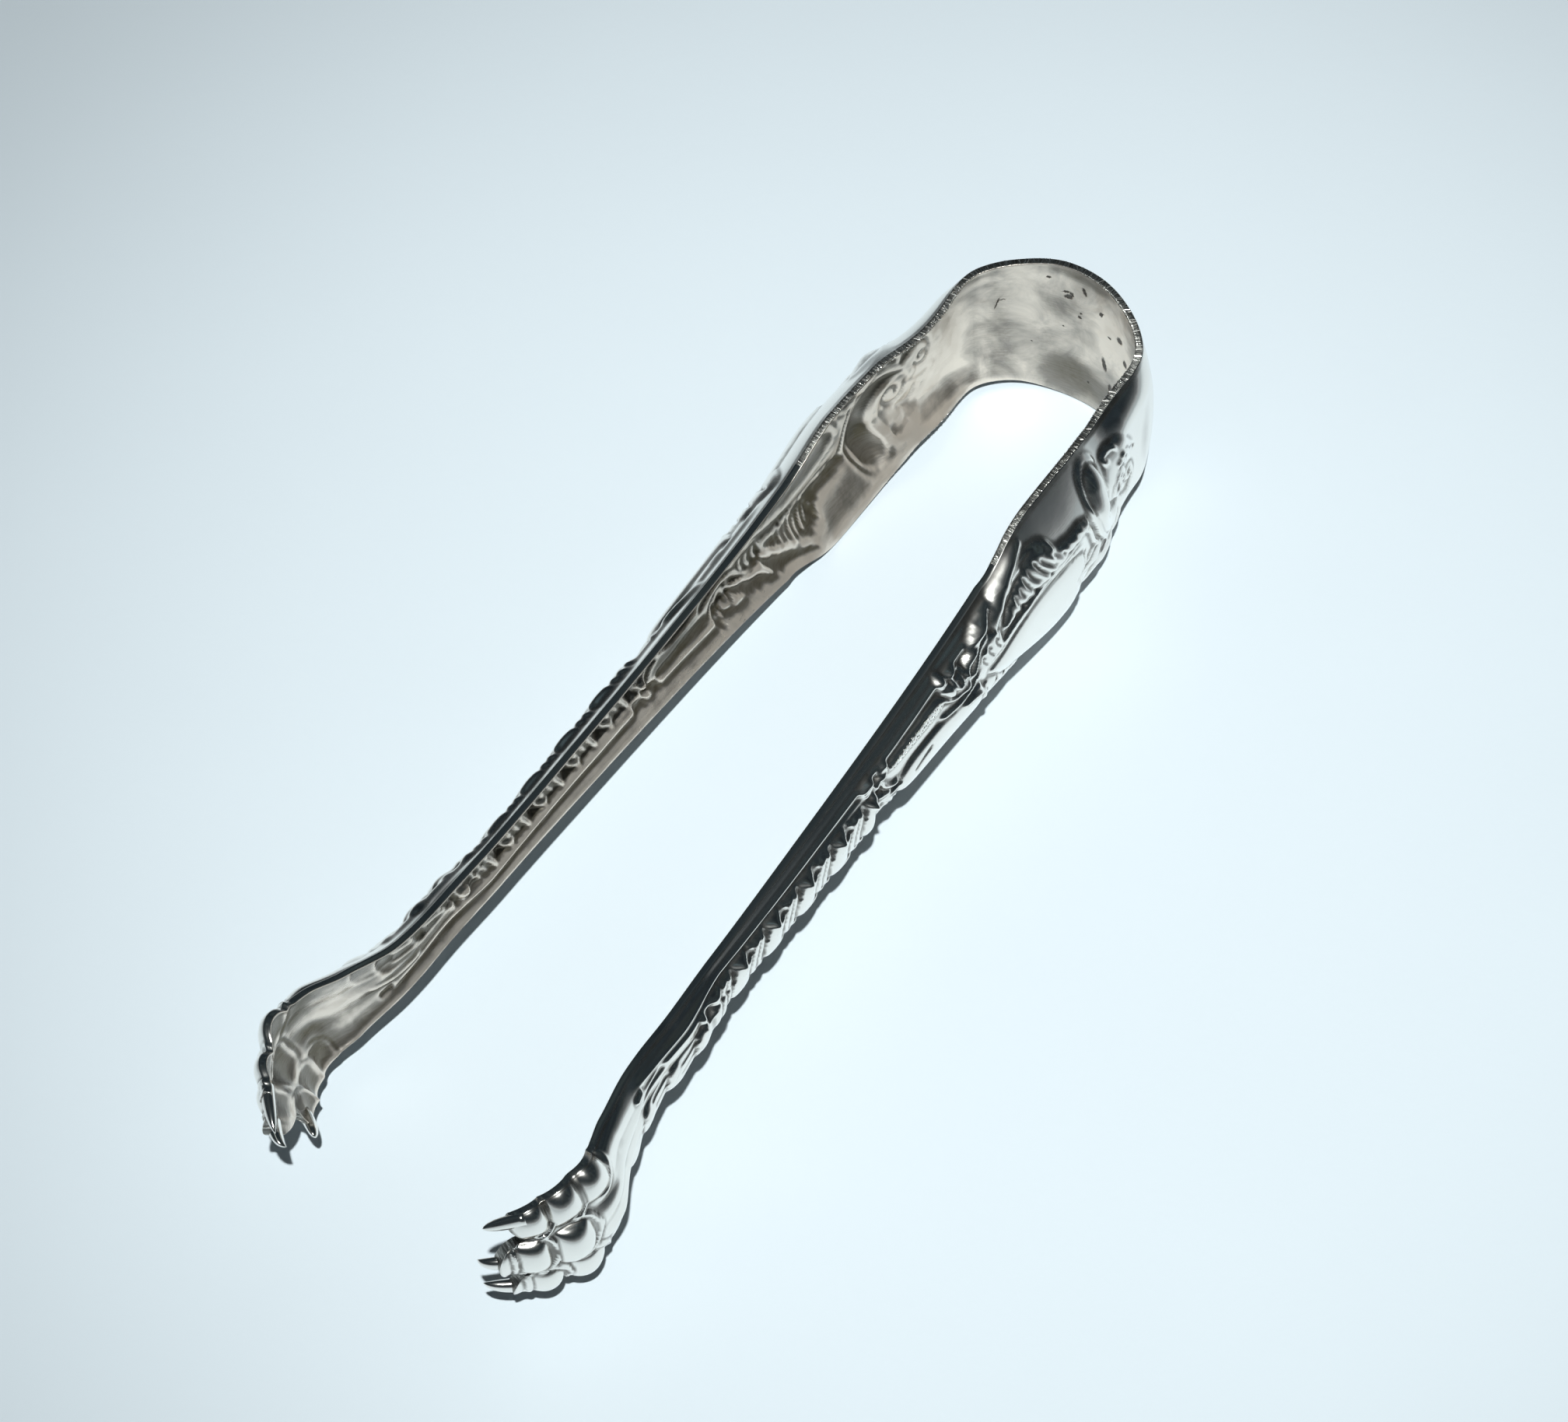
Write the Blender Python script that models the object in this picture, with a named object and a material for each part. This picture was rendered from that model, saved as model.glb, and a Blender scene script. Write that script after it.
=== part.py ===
"""Sugar tongs: a strip of stamped silver bent into a spring bow, with an eagle's claw at each end.

Runs in Blender 4.5, from the command line or the text editor. Metres, +Z up. The tongs lie on their
long edge: X runs across the jaws, +Y towards the bow and +Z across the strip. The origin is on the
lower edge of the bow, at its crown. Both arms come from one die, so the left arm is the right arm
turned half a turn about the long axis.

Places on the die are (s, v): s runs along the strip from the crown of the bow, and v across it, from
the middle towards the edge that is uppermost on the right arm. A share of the half width is q.
"""

import math

import bmesh
import bpy
import numpy as np

MM = 0.001

# Sheet and bow
SHEET = 0.7 * MM  # silver gauge
BOW_HALF_SPAN = 8.6 * MM  # from the long axis to the middle of the sheet
BOW_DEPTH = 7.1 * MM  # from the crown to where the arms start
BOW_FLAT = 3.2 * MM  # length of the bow's crown that is straight-edged and flat across
ARM_SPLAY = math.radians(1.4)  # each arm opens by this much towards its claw

# Lengths along the strip
ANKLE_AT = 86.5 * MM  # from the crown to where the claw is joined to the arm
CLAW_LENGTH = 20.1 * MM  # from there to the longest talon's tip
HEEL_LENGTH = 5.0 * MM  # from there to where the claw is turned out the most
HEEL_FLARE = math.radians(11.5)
CLAW_CURL = math.radians(34)  # turn of the toes towards each other at their tips

# Width of the strip
BLANK_WIDTH = 16.6 * MM  # of the blank it is cut from, which the bow and the shoulders fill
WAIST_AT, WAIST_WIDTH = 14.5 * MM, 13.8 * MM
SHOULDER_AT = 24.0 * MM
SHOULDER_LENGTH = 5.0 * MM
SHOULDER_INSET = 0.25 * MM  # its leaning rim then ends level with the bow's
TAPER_AT, TAPER_WIDTH = 36.5 * MM, 12.0 * MM
COLLAR_AT, COLLAR_WIDTH = 44.0 * MM, 9.5 * MM
STEM_AT, STEM_WIDTH = 61.5 * MM, 6.8 * MM
NECK_AT, NECK_WIDTH = 75.0 * MM, 6.6 * MM
HUSK_WIDTH = 7.2 * MM  # at the ankle
FOOT_WIDTH = 9.0 * MM

# Height of the hollow section's middle over its two edges
WAIST_CROWN = 1.2 * MM
SHOULDER_CROWN = 3.0 * MM
TAPER_CROWN = 2.7 * MM
STEM_CROWN = 1.6 * MM
NECK_CROWN = 1.2 * MM
HUSK_CROWN = 1.1 * MM
HEEL_CROWN = 1.0 * MM
KNUCKLE_CROWN = 2.2 * MM
TIP_CROWN = 0.3 * MM
ARM_ROUNDNESS = 2.4  # power of the arms' section: higher is flatter on top
FOOT_ROUNDNESS = 2.0

# How far the foot's edges stand out over the strip's line, upper and lower on the right arm
UPPER_TOE_LIFT = 1.1 * MM
LOWER_TOE_LIFT = 3.0 * MM
TIP_LIFT = 0.9 * MM

# Gaps
FLEX_GAP = 0.3 * MM  # between the bow and each arm, at the joint that stands for the spring
SOLDER_GAP = 0.3 * MM  # between an arm and its claw

# Ornament of the die, each as (s, v, half length, half width, height, turn in degrees)
CARTOUCHE = (31.6 * MM, -1.2 * MM, 8.0 * MM, 3.9 * MM, 0.6 * MM, -8.0)
PANEL = (46.3 * MM, -1.1 * MM, 6.6 * MM, 2.5 * MM, 0.55 * MM, 6.0)
BOSS = (21.9 * MM, 3.4 * MM, 3.0 * MM, 1.8 * MM, 1.0 * MM, 85.0)
BOSS_TAIL = (20.2 * MM, -0.3 * MM, 2.9 * MM, 1.3 * MM, 0.6 * MM, 40.0)
LEAF = (30.9 * MM, 4.5 * MM, 5.6 * MM, 1.6 * MM, 0.5 * MM, -9.0)
FLARE = (35.2 * MM, 5.2 * MM, 3.9 * MM, 1.0 * MM, 0.55 * MM, -32.0)
LOWER_FLARE = (39.6 * MM, 3.9 * MM, 3.4 * MM, 0.9 * MM, 0.5 * MM, -26.0)
SIDE_LEAF = (24.0 * MM, -2.2 * MM, 3.4 * MM, 1.4 * MM, 0.45 * MM, -15.0)
LOWER_LEAF = (37.6 * MM, -2.7 * MM, 3.8 * MM, 1.9 * MM, 0.35 * MM, 24.0)
UPPER_SCROLL = (43.1 * MM, 3.0 * MM, 1.7 * MM, 1.5 * MM, 0.7 * MM, 0.0)
UPPER_COLLAR = (43.4 * MM, 1.1 * MM, 2.9 * MM, 0.8 * MM, 0.4 * MM, 8.0)
LOWER_SCROLL = (54.2 * MM, 2.4 * MM, 2.1 * MM, 0.9 * MM, 0.5 * MM, 0.0)
LOWER_COLLAR = (54.0 * MM, 0.7 * MM, 2.4 * MM, 1.0 * MM, 0.45 * MM, 35.0)
PLATES = (CARTOUCHE, PANEL, LEAF)  # with flat tops
MOUNDS = (
    BOSS,
    BOSS_TAIL,
    FLARE,
    LOWER_FLARE,
    SIDE_LEAF,
    LOWER_LEAF,
    UPPER_SCROLL,
    UPPER_COLLAR,
    LOWER_SCROLL,
    LOWER_COLLAR,
)
PLATE_FLAT = 0.6  # share of a plate that is level

# Twisted stem
ROPE_START = 54.5 * MM
ROPE_LENGTH = 24.5 * MM
ROPE_PITCH = 4.6 * MM
ROPE_RISE = 1.6 * MM
ROPE_LEAN = 0.55  # strands lean this far along the strip for each unit across it
ROPE_HEIGHT = 0.6 * MM
ROPE_OFFSET = -0.8 * MM  # from the middle of the strip
ROPE_HALF_WIDTH = 2.4 * MM

# Husks between the stem and the foot: scales that are highest near their free ends
HUSKS = 4  # the last one is on the claw
HUSK_PITCH = 4.1 * MM
LAST_HUSK_AT = 90.2 * MM
HUSK_HALF_LENGTH = 3.0 * MM
HUSK_HALF_WIDTH = 2.1 * MM
HUSK_HEIGHT = 0.8 * MM
HUSK_OFFSET = -0.9 * MM  # from the middle of the strip
HUSK_TURN = -14.0

# Claw
TOES = 3
TOE_HEIGHT = 1.0 * MM
TOE_ROOT = 6.0 * MM  # from the ankle to where the toes rise from the foot
TOE_RISE = 4.0 * MM
TALON_LENGTH = 4.4 * MM
TALON_TIP_HALF_WIDTH = 0.22 * MM
TALON_SET_BACKS = (0.0, 0.5 * MM, 2.6 * MM)  # of the lower, middle and upper tip on the right arm
KNUCKLES = 2
KNUCKLE_TO_TIP = 5.6 * MM  # from the last knuckle's middle to the longest talon's tip
KNUCKLE_PITCH = 3.1 * MM
KNUCKLE_HALF_LENGTH = 1.4 * MM
KNUCKLE_HEIGHT = 0.65 * MM

# Mesh
BOW_ROW_STEP = 1.1 * MM
ROW_STEP = 0.75 * MM
CLAW_ROW_STEP = 0.7 * MM
PATH_STEP = 0.05 * MM
BOW_COLUMNS = 8
COLUMNS = 18  # a multiple of TOES

SILVER = (0.80, 0.79, 0.76, 1.0)

STRIP_LENGTH = ANKLE_AT + CLAW_LENGTH
TALON_ROOT_AT = STRIP_LENGTH - TALON_LENGTH
KNUCKLE_AT = STRIP_LENGTH - KNUCKLE_TO_TIP
HEEL_AT = ANKLE_AT + HEEL_LENGTH

WIDTHS = (
    (0.0, BLANK_WIDTH),
    (BOW_FLAT / 2, BLANK_WIDTH),
    (WAIST_AT, WAIST_WIDTH),
    (SHOULDER_AT, BLANK_WIDTH - 2 * SHOULDER_INSET),
    (SHOULDER_AT + SHOULDER_LENGTH, BLANK_WIDTH - 2 * SHOULDER_INSET),
    (TAPER_AT, TAPER_WIDTH),
    (COLLAR_AT, COLLAR_WIDTH),
    (STEM_AT, STEM_WIDTH),
    (NECK_AT, NECK_WIDTH),
    (ANKLE_AT, HUSK_WIDTH),
    (KNUCKLE_AT - KNUCKLE_PITCH, FOOT_WIDTH),
    (STRIP_LENGTH, FOOT_WIDTH),
)
CROWNS = (
    (0.0, 0.0),
    (BOW_FLAT / 2, 0.0),
    (WAIST_AT, WAIST_CROWN),
    (SHOULDER_AT, SHOULDER_CROWN),
    (SHOULDER_AT + SHOULDER_LENGTH, SHOULDER_CROWN),
    (TAPER_AT, TAPER_CROWN),
    (STEM_AT, STEM_CROWN),
    (NECK_AT, NECK_CROWN),
    (ANKLE_AT, HUSK_CROWN),
    (HEEL_AT, HEEL_CROWN),
    (KNUCKLE_AT - KNUCKLE_PITCH, KNUCKLE_CROWN),
    (STRIP_LENGTH, TIP_CROWN),
)
UPPER_LIFTS = (
    (HEEL_AT, 0.0),
    (KNUCKLE_AT - KNUCKLE_PITCH, UPPER_TOE_LIFT),
    (KNUCKLE_AT, UPPER_TOE_LIFT),
    (STRIP_LENGTH, TIP_LIFT),
)
LOWER_LIFTS = (
    (HEEL_AT, 0.0),
    (KNUCKLE_AT - KNUCKLE_PITCH, LOWER_TOE_LIFT),
    (STRIP_LENGTH, TIP_LIFT),
)
HEADINGS = (
    (ANKLE_AT - HEEL_LENGTH / 2, ARM_SPLAY),
    (HEEL_AT, HEEL_FLARE),
    (STRIP_LENGTH, -CLAW_CURL),
)


def clear_scene():
    for obj in list(bpy.data.objects):
        bpy.data.objects.remove(obj, do_unlink=True)


def silver(name, roughness):
    """The strip's metal: polished on the arms, more satin in the bow and on the claws."""
    material = bpy.data.materials.new(name)
    material.use_nodes = True
    shader = material.node_tree.nodes["Principled BSDF"]
    shader.inputs["Base Color"].default_value = SILVER
    shader.inputs["Metallic"].default_value = 1.0
    shader.inputs["Roughness"].default_value = roughness
    return material


def smooth(x):
    """0 below 0, 1 above 1 and an even curve between them."""
    x = min(max(x, 0.0), 1.0)
    return x * x * (3 - 2 * x)


def along(stations, s):
    """Value at s of a smooth curve through the stations, which never overshoots them."""
    places = np.array([place for place, _ in stations])
    values = np.array([value for _, value in stations])
    steps = np.diff(places)
    slopes = np.diff(values) / steps
    tangents = np.zeros(len(places))
    for i in range(1, len(places) - 1):
        if slopes[i - 1] * slopes[i] > 0:
            tangents[i] = 2 * slopes[i - 1] * slopes[i] / (slopes[i - 1] + slopes[i])
    i = int(np.clip(np.searchsorted(places, s) - 1, 0, len(steps) - 1))
    u = min(max((s - places[i]) / steps[i], 0.0), 1.0)
    return (
        values[i] * (1 + 2 * u) * (1 - u) ** 2
        + values[i + 1] * u * u * (3 - 2 * u)
        + steps[i] * (tangents[i] * u * (1 - u) ** 2 + tangents[i + 1] * u * u * (u - 1))
    )


def strip_path():
    """The strip's line in plan from the crown to the tips, as rows of (s, x, y, heading).

    The bow is a quarter of an ellipse, the arm is straight, and the claw flares at its heel and
    then curls in. A heading of 0 points along -Y and a positive one turns outwards.
    """
    rows = [(0.0, 0.0, 0.0, math.pi / 2)]
    s = x = y = angle = 0.0
    while rows[-1][3] > ARM_SPLAY:
        across, down = BOW_HALF_SPAN * math.cos(angle), BOW_DEPTH * math.sin(angle)
        angle += PATH_STEP / math.hypot(across, down)
        next_x = BOW_HALF_SPAN * math.sin(angle)
        next_y = BOW_DEPTH * (math.cos(angle) - 1)
        s += math.hypot(next_x - x, next_y - y)
        x, y = next_x, next_y
        heading = math.atan2(BOW_HALF_SPAN * math.cos(angle), BOW_DEPTH * math.sin(angle))
        rows.append((s, x, y, max(heading, ARM_SPLAY)))
    while s < STRIP_LENGTH:
        heading = along(HEADINGS, s)
        s += PATH_STEP
        x += PATH_STEP * math.sin(heading)
        y -= PATH_STEP * math.cos(heading)
        rows.append((s, x, y, heading))
    return np.array(rows)


PATH = strip_path()


def path_at(s):
    """(x, y, heading) of the strip's line at s. It goes on past the crown on the other side."""
    x, y, heading = (float(np.interp(abs(s), PATH[:, 0], PATH[:, i])) for i in (1, 2, 3))
    return (x, y, heading) if s >= 0 else (-x, y, math.pi - heading)


def place_of_heading(heading):
    """How far along the strip its line first turns to this heading."""
    bow = PATH[: int(np.argmax(PATH[:, 3] <= ARM_SPLAY)) + 1]
    return float(np.interp(-heading, -bow[:, 3], bow[:, 0]))


HINGE_AT = place_of_heading(math.radians(45))  # middle of one side's flexing part of the bow


def mound(s, v, shape, flat=0.0):
    """Height at (s, v) of one rounded, tilted oval of the ornament, level over this share of it."""
    centre_s, centre_v, half_length, half_width, height, turn = shape
    c, k = math.cos(math.radians(turn)), math.sin(math.radians(turn))
    ds, dv = s - centre_s, v - centre_v
    a = (ds * c + dv * k) / half_length
    b = (dv * c - ds * k) / half_width
    return height * (1 - smooth((math.hypot(a, b) - flat) / (1 - flat)))


def rope(s, v):
    """Height of the twisted stem: leaning strands that fade out at both ends."""
    rise = smooth((s - ROPE_START) / ROPE_RISE)
    fall = smooth((ROPE_START + ROPE_LENGTH - s) / ROPE_RISE)
    across = 1 - ((v - ROPE_OFFSET) / ROPE_HALF_WIDTH) ** 4
    strands = 0.7 + 0.3 * math.cos(2 * math.pi * (s + ROPE_LEAN * v - ROPE_START) / ROPE_PITCH)
    return ROPE_HEIGHT * rise * fall * max(across, 0.0) * strands


def husks(s, v):
    """Height of the leafy husks that the foot grows out of."""
    height = 0.0
    for i in range(HUSKS):
        place = LAST_HUSK_AT - i * HUSK_PITCH
        shape = (place, HUSK_OFFSET, HUSK_HALF_LENGTH, HUSK_HALF_WIDTH, HUSK_HEIGHT, HUSK_TURN)
        height = max(height, mound(s, v, shape))
    return height


def ornament(s, v):
    """Height of everything that the die stamps on an arm."""
    raised = sum(mound(s, v, shape) for shape in MOUNDS)
    raised += sum(mound(s, v, shape, PLATE_FLAT) for shape in PLATES)
    return raised + rope(s, v) + husks(s, v)


def edge_fade(q):
    """Keeps the ornament off the plain borders of the strip."""
    return 1 - smooth((abs(q) - 0.8) / 0.2)


def toe_height(s, u):
    """Height of one toe over the foot, where u runs from -1 to 1 across that toe."""
    height = TOE_HEIGHT
    for i in range(KNUCKLES):
        place = KNUCKLE_AT - i * KNUCKLE_PITCH
        height += KNUCKLE_HEIGHT * (1 - smooth(abs(s - place) / KNUCKLE_HALF_LENGTH))
    return height * smooth((s - ANKLE_AT - TOE_ROOT) / TOE_RISE) * (1 - u * u)


def across_toe(q):
    """Where q lies across its own toe, from -1 to 1."""
    toe = (q + 1) / 2 * TOES
    return 2 * (toe - min(math.floor(toe + 1e-9), TOES - 1)) - 1


def on_strip(s, q, height):
    """The point at this height over the strip's edges, in the object's frame."""
    x, y, heading = path_at(s)
    return (
        x + height * math.cos(heading),
        y + height * math.sin(heading),
        BLANK_WIDTH / 2 + q * along(WIDTHS, abs(s)) / 2,
    )


def section_height(s, q):
    """Height of the hollow section over the strip's edges."""
    foot = smooth((s - ANKLE_AT) / HEEL_LENGTH)
    power = ARM_ROUNDNESS + (FOOT_ROUNDNESS - ARM_ROUNDNESS) * foot
    lift = along(UPPER_LIFTS, abs(s)) * (1 + q) / 2 + along(LOWER_LIFTS, abs(s)) * (1 - q) / 2
    return along(CROWNS, abs(s)) * (1 - abs(q) ** power) + lift


def bow_point(s, q):
    return on_strip(s, q, section_height(s, q))


def arm_point(s, q):
    relief = ornament(s, q * along(WIDTHS, s) / 2) * edge_fade(q)
    return on_strip(s, q, section_height(s, q) + relief)


def foot_point(s, q):
    relief = husks(s, q * along(WIDTHS, s) / 2) * edge_fade(q)
    return on_strip(s, q, section_height(s, q) + relief + toe_height(s, across_toe(q)))


def rows_between(start, end, step):
    """Even places from start to end, no further apart than the step."""
    count = max(3, math.ceil((end - start) / step))
    return [start + (end - start) * i / count for i in range(count + 1)]


def add_rows(bm, places, columns, point, origin):
    """One row of vertices across the strip at each place, joined by faces."""
    rows = []
    for s in places:
        shares = [2 * i / columns - 1 for i in range(columns + 1)]
        rows.append([bm.verts.new(np.subtract(point(s, q), origin)) for q in shares])
    add_faces(bm, rows)
    return rows


def add_faces(bm, rows):
    for near, far in zip(rows, rows[1:]):
        for i in range(len(near) - 1):
            bm.faces.new((near[i], near[i + 1], far[i + 1], far[i]))


def add_talon(bm, root, toe, origin):
    """Carries one toe on from its root row to a pointed tip."""
    tip = STRIP_LENGTH - TALON_SET_BACKS[toe]
    middle = (2 * toe + 1) / TOES - 1
    rows = [root]
    for s in rows_between(TALON_ROOT_AT, tip, CLAW_ROW_STEP)[1:]:
        part = (s - TALON_ROOT_AT) / (tip - TALON_ROOT_AT)
        tip_share = 2 * TALON_TIP_HALF_WIDTH / along(WIDTHS, s)
        reach = tip_share + (1 / TOES - tip_share) * (1 - part) ** 0.8
        row = []
        for i in range(len(root)):
            u = 2 * i / (len(root) - 1) - 1
            height = section_height(s, middle + u * reach) + toe_height(s, u) * reach * TOES
            row.append(bm.verts.new(np.subtract(on_strip(s, middle + u * reach, height), origin)))
        rows.append(row)
    add_faces(bm, rows)


def finished(bm, name):
    bmesh.ops.recalc_face_normals(bm, faces=bm.faces)
    mesh = bpy.data.meshes.new(name)
    bm.to_mesh(mesh)
    bm.free()
    mesh.shade_smooth()
    mesh.set_sharp_from_angle(angle=math.radians(40))
    return mesh


def bow_mesh():
    """The plain spring bow between the two flexing joints."""
    bm = bmesh.new()
    reach = HINGE_AT - FLEX_GAP / 2
    add_rows(bm, rows_between(-reach, reach, BOW_ROW_STEP), BOW_COLUMNS, bow_point, (0, 0, 0))
    return finished(bm, "bow")


def arm_mesh(origin):
    """One stamped arm, from its joint with the bow to the ankle."""
    bm = bmesh.new()
    places = rows_between(HINGE_AT + FLEX_GAP / 2, ANKLE_AT - SOLDER_GAP / 2, ROW_STEP)
    add_rows(bm, places, COLUMNS, arm_point, origin)
    return finished(bm, "arm")


def claw_mesh(origin):
    """One claw: a foot that splits into toes with knuckles and talons."""
    bm = bmesh.new()
    places = rows_between(ANKLE_AT + SOLDER_GAP / 2, TALON_ROOT_AT, CLAW_ROW_STEP)
    rows = add_rows(bm, places, COLUMNS, foot_point, origin)
    each = COLUMNS // TOES
    for toe in range(TOES):
        add_talon(bm, rows[-1][toe * each : (toe + 1) * each + 1], toe, origin)
    return finished(bm, "claw")


def add_piece(name, mesh, material, parent=None):
    """A piece of the strip: the mesh is the sheet's middle, and Solidify gives it its gauge."""
    obj = bpy.data.objects.new(name, mesh)
    bpy.context.collection.objects.link(obj)
    obj.parent = parent
    if not mesh.materials:
        mesh.materials.append(material)
    solidify = obj.modifiers.new("Gauge", "SOLIDIFY")
    solidify.thickness = SHEET
    solidify.offset = 0
    solidify.use_even_offset = True


def add_flex(name, place, turn):
    """An empty on the axis about which one arm closes, halfway round its side of the bow."""
    empty = bpy.data.objects.new(name, None)
    bpy.context.collection.objects.link(empty)
    empty.location = place
    empty.rotation_euler = (0, turn, 0)
    return empty


def main():
    clear_scene()
    add_piece("bow", bow_mesh(), silver("bow_silver", 0.35))
    x, y, _ = path_at(HINGE_AT)
    origin = (x, y, BLANK_WIDTH / 2)
    arm, claw = arm_mesh(origin), claw_mesh(origin)
    arm_silver, claw_silver = silver("arm_silver", 0.15), silver("claw_silver", 0.22)
    for side, sign, turn in (("right", 1, 0.0), ("left", -1, math.pi)):
        flex = add_flex(side + "_flex", (sign * x, y, BLANK_WIDTH / 2), turn)
        add_piece(side + "_arm", arm, arm_silver, flex)
        add_piece(side + "_claw", claw, claw_silver, flex)
    tip_x, tip_y, _ = path_at(STRIP_LENGTH)
    print(f"flexing axes at x {x / MM:.4f} and y {y / MM:.4f} mm")
    print(f"longest talon ends at x {tip_x / MM:.3f} and y {tip_y / MM:.3f} mm")


main()
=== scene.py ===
"""Looks of the sugar tongs: the stamped and polished strip, its claws, its filed edges and the table.

Runs in Blender 4.5 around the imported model. Places on the die are (s, v) in millimetres: s runs along
the strip from the crown of the bow, and v across it from the middle, towards the edge that is uppermost
on the right arm. The left arm is the same die turned half a turn about the long axis.
"""

import math
from functools import partial

import bmesh
import bpy
import numpy as np
from mathutils import Matrix, Vector


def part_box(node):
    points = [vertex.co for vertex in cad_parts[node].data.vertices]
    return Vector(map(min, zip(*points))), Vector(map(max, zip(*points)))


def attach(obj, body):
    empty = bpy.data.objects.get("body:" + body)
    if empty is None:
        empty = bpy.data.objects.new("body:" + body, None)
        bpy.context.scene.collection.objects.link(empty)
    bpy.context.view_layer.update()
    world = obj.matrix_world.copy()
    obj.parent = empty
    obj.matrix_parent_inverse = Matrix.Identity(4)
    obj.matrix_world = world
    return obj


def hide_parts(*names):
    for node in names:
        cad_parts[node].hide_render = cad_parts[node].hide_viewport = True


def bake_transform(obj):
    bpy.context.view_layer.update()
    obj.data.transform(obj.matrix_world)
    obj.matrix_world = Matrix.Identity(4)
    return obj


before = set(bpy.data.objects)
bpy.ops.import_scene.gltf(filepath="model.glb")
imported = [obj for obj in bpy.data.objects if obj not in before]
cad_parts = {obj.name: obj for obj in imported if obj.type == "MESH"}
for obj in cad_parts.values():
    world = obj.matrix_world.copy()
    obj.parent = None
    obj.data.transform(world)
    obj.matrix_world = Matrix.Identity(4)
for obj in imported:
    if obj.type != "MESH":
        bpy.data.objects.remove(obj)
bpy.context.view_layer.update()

bl_info = {
    "name": "Claw sugar tongs",
    "version": (1, 0, 0),
    "blender": (4, 5, 0),
    "location": "View3D > Sidebar > Tongs",
    "description": "Builds stamped silver sugar tongs with eagle's claws on a pale table",
    "category": "Add Mesh",
}

MM = 0.001
BOW_LOW, BOW_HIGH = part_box("bow")
BLANK_WIDTH = (BOW_HIGH.z - BOW_LOW.z) / MM
SHEET = 0.66
BOW_HALF_SPAN = 8.648
BOW_DEPTH = 7.08
ARM_SPLAY = 1.43
FOOT_END = 105.2
NOTCH = 2.4
ANKLE = 87.6
ARCH = math.radians(52)
BEVEL = 0.07
END_ROUNDING = 0.03
# Depth of a hollow that the polish never reaches
HOLLOW = 0.035
# The edges show the file's flecks, painted glints and dark reflections, this far along, and the bars of
# single strokes this far
FILED_TO = 34.0
MARKED_TO = 24.0

# Points round a ring: over the outside, over each filed edge, and over the inside
OUTER_POINTS, RIM_POINTS, INNER_POINTS = 101, 4, 61
# Where a point of a ring lies, which is also the finish of its faces
OUTSIDE, EDGE, INSIDE = 0, 1, 2

# Turn of the strip's line along the foot, in degrees
HEADINGS = ((84, ARM_SPLAY), (86.5, 5), (90, 10.5), (95, 3), (99, -12), (103, -26), (107.4, -36))
WIDTHS = (
    (0, BLANK_WIDTH), (1.6, BLANK_WIDTH - 0.1), (6, 15.1), (12, 14.2), (17, 13.4), (23, 15.8),
    (29, 16.5), (36, 12.0), (44, 9.4), (52, 7.9), (61, 6.8), (75, 5.8), (82, 5.8), (86, 6.3),
    (91, 7.5), (95, 8.5), (98, 8.8), (101, 8.3), (104, 7.4), (108, 6.6),
)
CROWNS = (
    (0, 0), (4, 0.15), (9, 1.0), (12, 1.45), (15, 1.9), (17, 2.15), (20, 2.6), (26, 3.2), (32, 2.9),
    (38, 2.65), (44, 2.3), (50, 2.05), (58, 1.6), (66, 1.35), (74, 1.1), (80, 0.9), (86, 0.65),
    (91, 0.5), (95, 0.8), (98, 1.1), (100.2, 1.15), (102, 0.9), (104, 0.6), (108, 0.4),
)
# How far the two edges stand out from the strip's line: the upper one on the right arm, the lower
UPPER_LIFTS = (
    (9, 0), (12, -0.4), (15, -0.6), (19, -0.3), (23, 0), (88, 0), (93, 0.3), (96, 0.9), (100, 1.1),
    (104, 0.8), (108, 0.4),
)
LOWER_LIFTS = (
    (9, 0), (12, -0.4), (15, -0.6), (19, -0.3), (23, 0), (88, 0), (93, 0.9), (96, 2.2), (99, 3.0), (102, 2.5),
    (104, 1.8), (108, 1.0),
)


def smooth(x):
    x = np.clip(x, 0.0, 1.0)
    return x * x * (3 - 2 * x)


def along(stations, s):
    """Values at s of a smooth curve through the stations, which never overshoots them."""
    places = np.array([place for place, _ in stations], float)
    values = np.array([value for _, value in stations], float)
    steps = np.diff(places)
    slopes = np.diff(values) / steps
    tangents = np.zeros(len(places))
    for i in range(1, len(places) - 1):
        if slopes[i - 1] * slopes[i] > 0:
            tangents[i] = 2 * slopes[i - 1] * slopes[i] / (slopes[i - 1] + slopes[i])
    i = np.clip(np.searchsorted(places, s) - 1, 0, len(steps) - 1)
    u = np.clip((s - places[i]) / steps[i], 0, 1)
    return (
        values[i] * (1 + 2 * u) * (1 - u) ** 2
        + values[i + 1] * u * u * (3 - 2 * u)
        + steps[i] * (tangents[i] * u * (1 - u) ** 2 + tangents[i + 1] * u * u * (u - 1))
    )


def strip_line():
    """The strip's line in plan from the crown to the tips: rows of s, x, y and heading."""
    step = 0.05
    angles = np.linspace(0, math.pi / 2, 4000)
    heading = np.arctan2(BOW_HALF_SPAN * np.cos(angles), BOW_DEPTH * np.sin(angles))
    kept = heading > math.radians(ARM_SPLAY)
    x = BOW_HALF_SPAN * np.sin(angles[kept])
    y = BOW_DEPTH * (np.cos(angles[kept]) - 1)
    s = np.concatenate([[0], np.cumsum(np.hypot(np.diff(x), np.diff(y)))])
    more = np.arange(s[-1] + step, 110, step)
    turn = np.radians(along(HEADINGS, more))
    x = np.concatenate([x, x[-1] + np.cumsum(np.sin(turn)) * step])
    y = np.concatenate([y, y[-1] - np.cumsum(np.cos(turn)) * step])
    return np.concatenate([s, more]), x, y, np.concatenate([heading[kept], turn])


LINE = strip_line()


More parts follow.
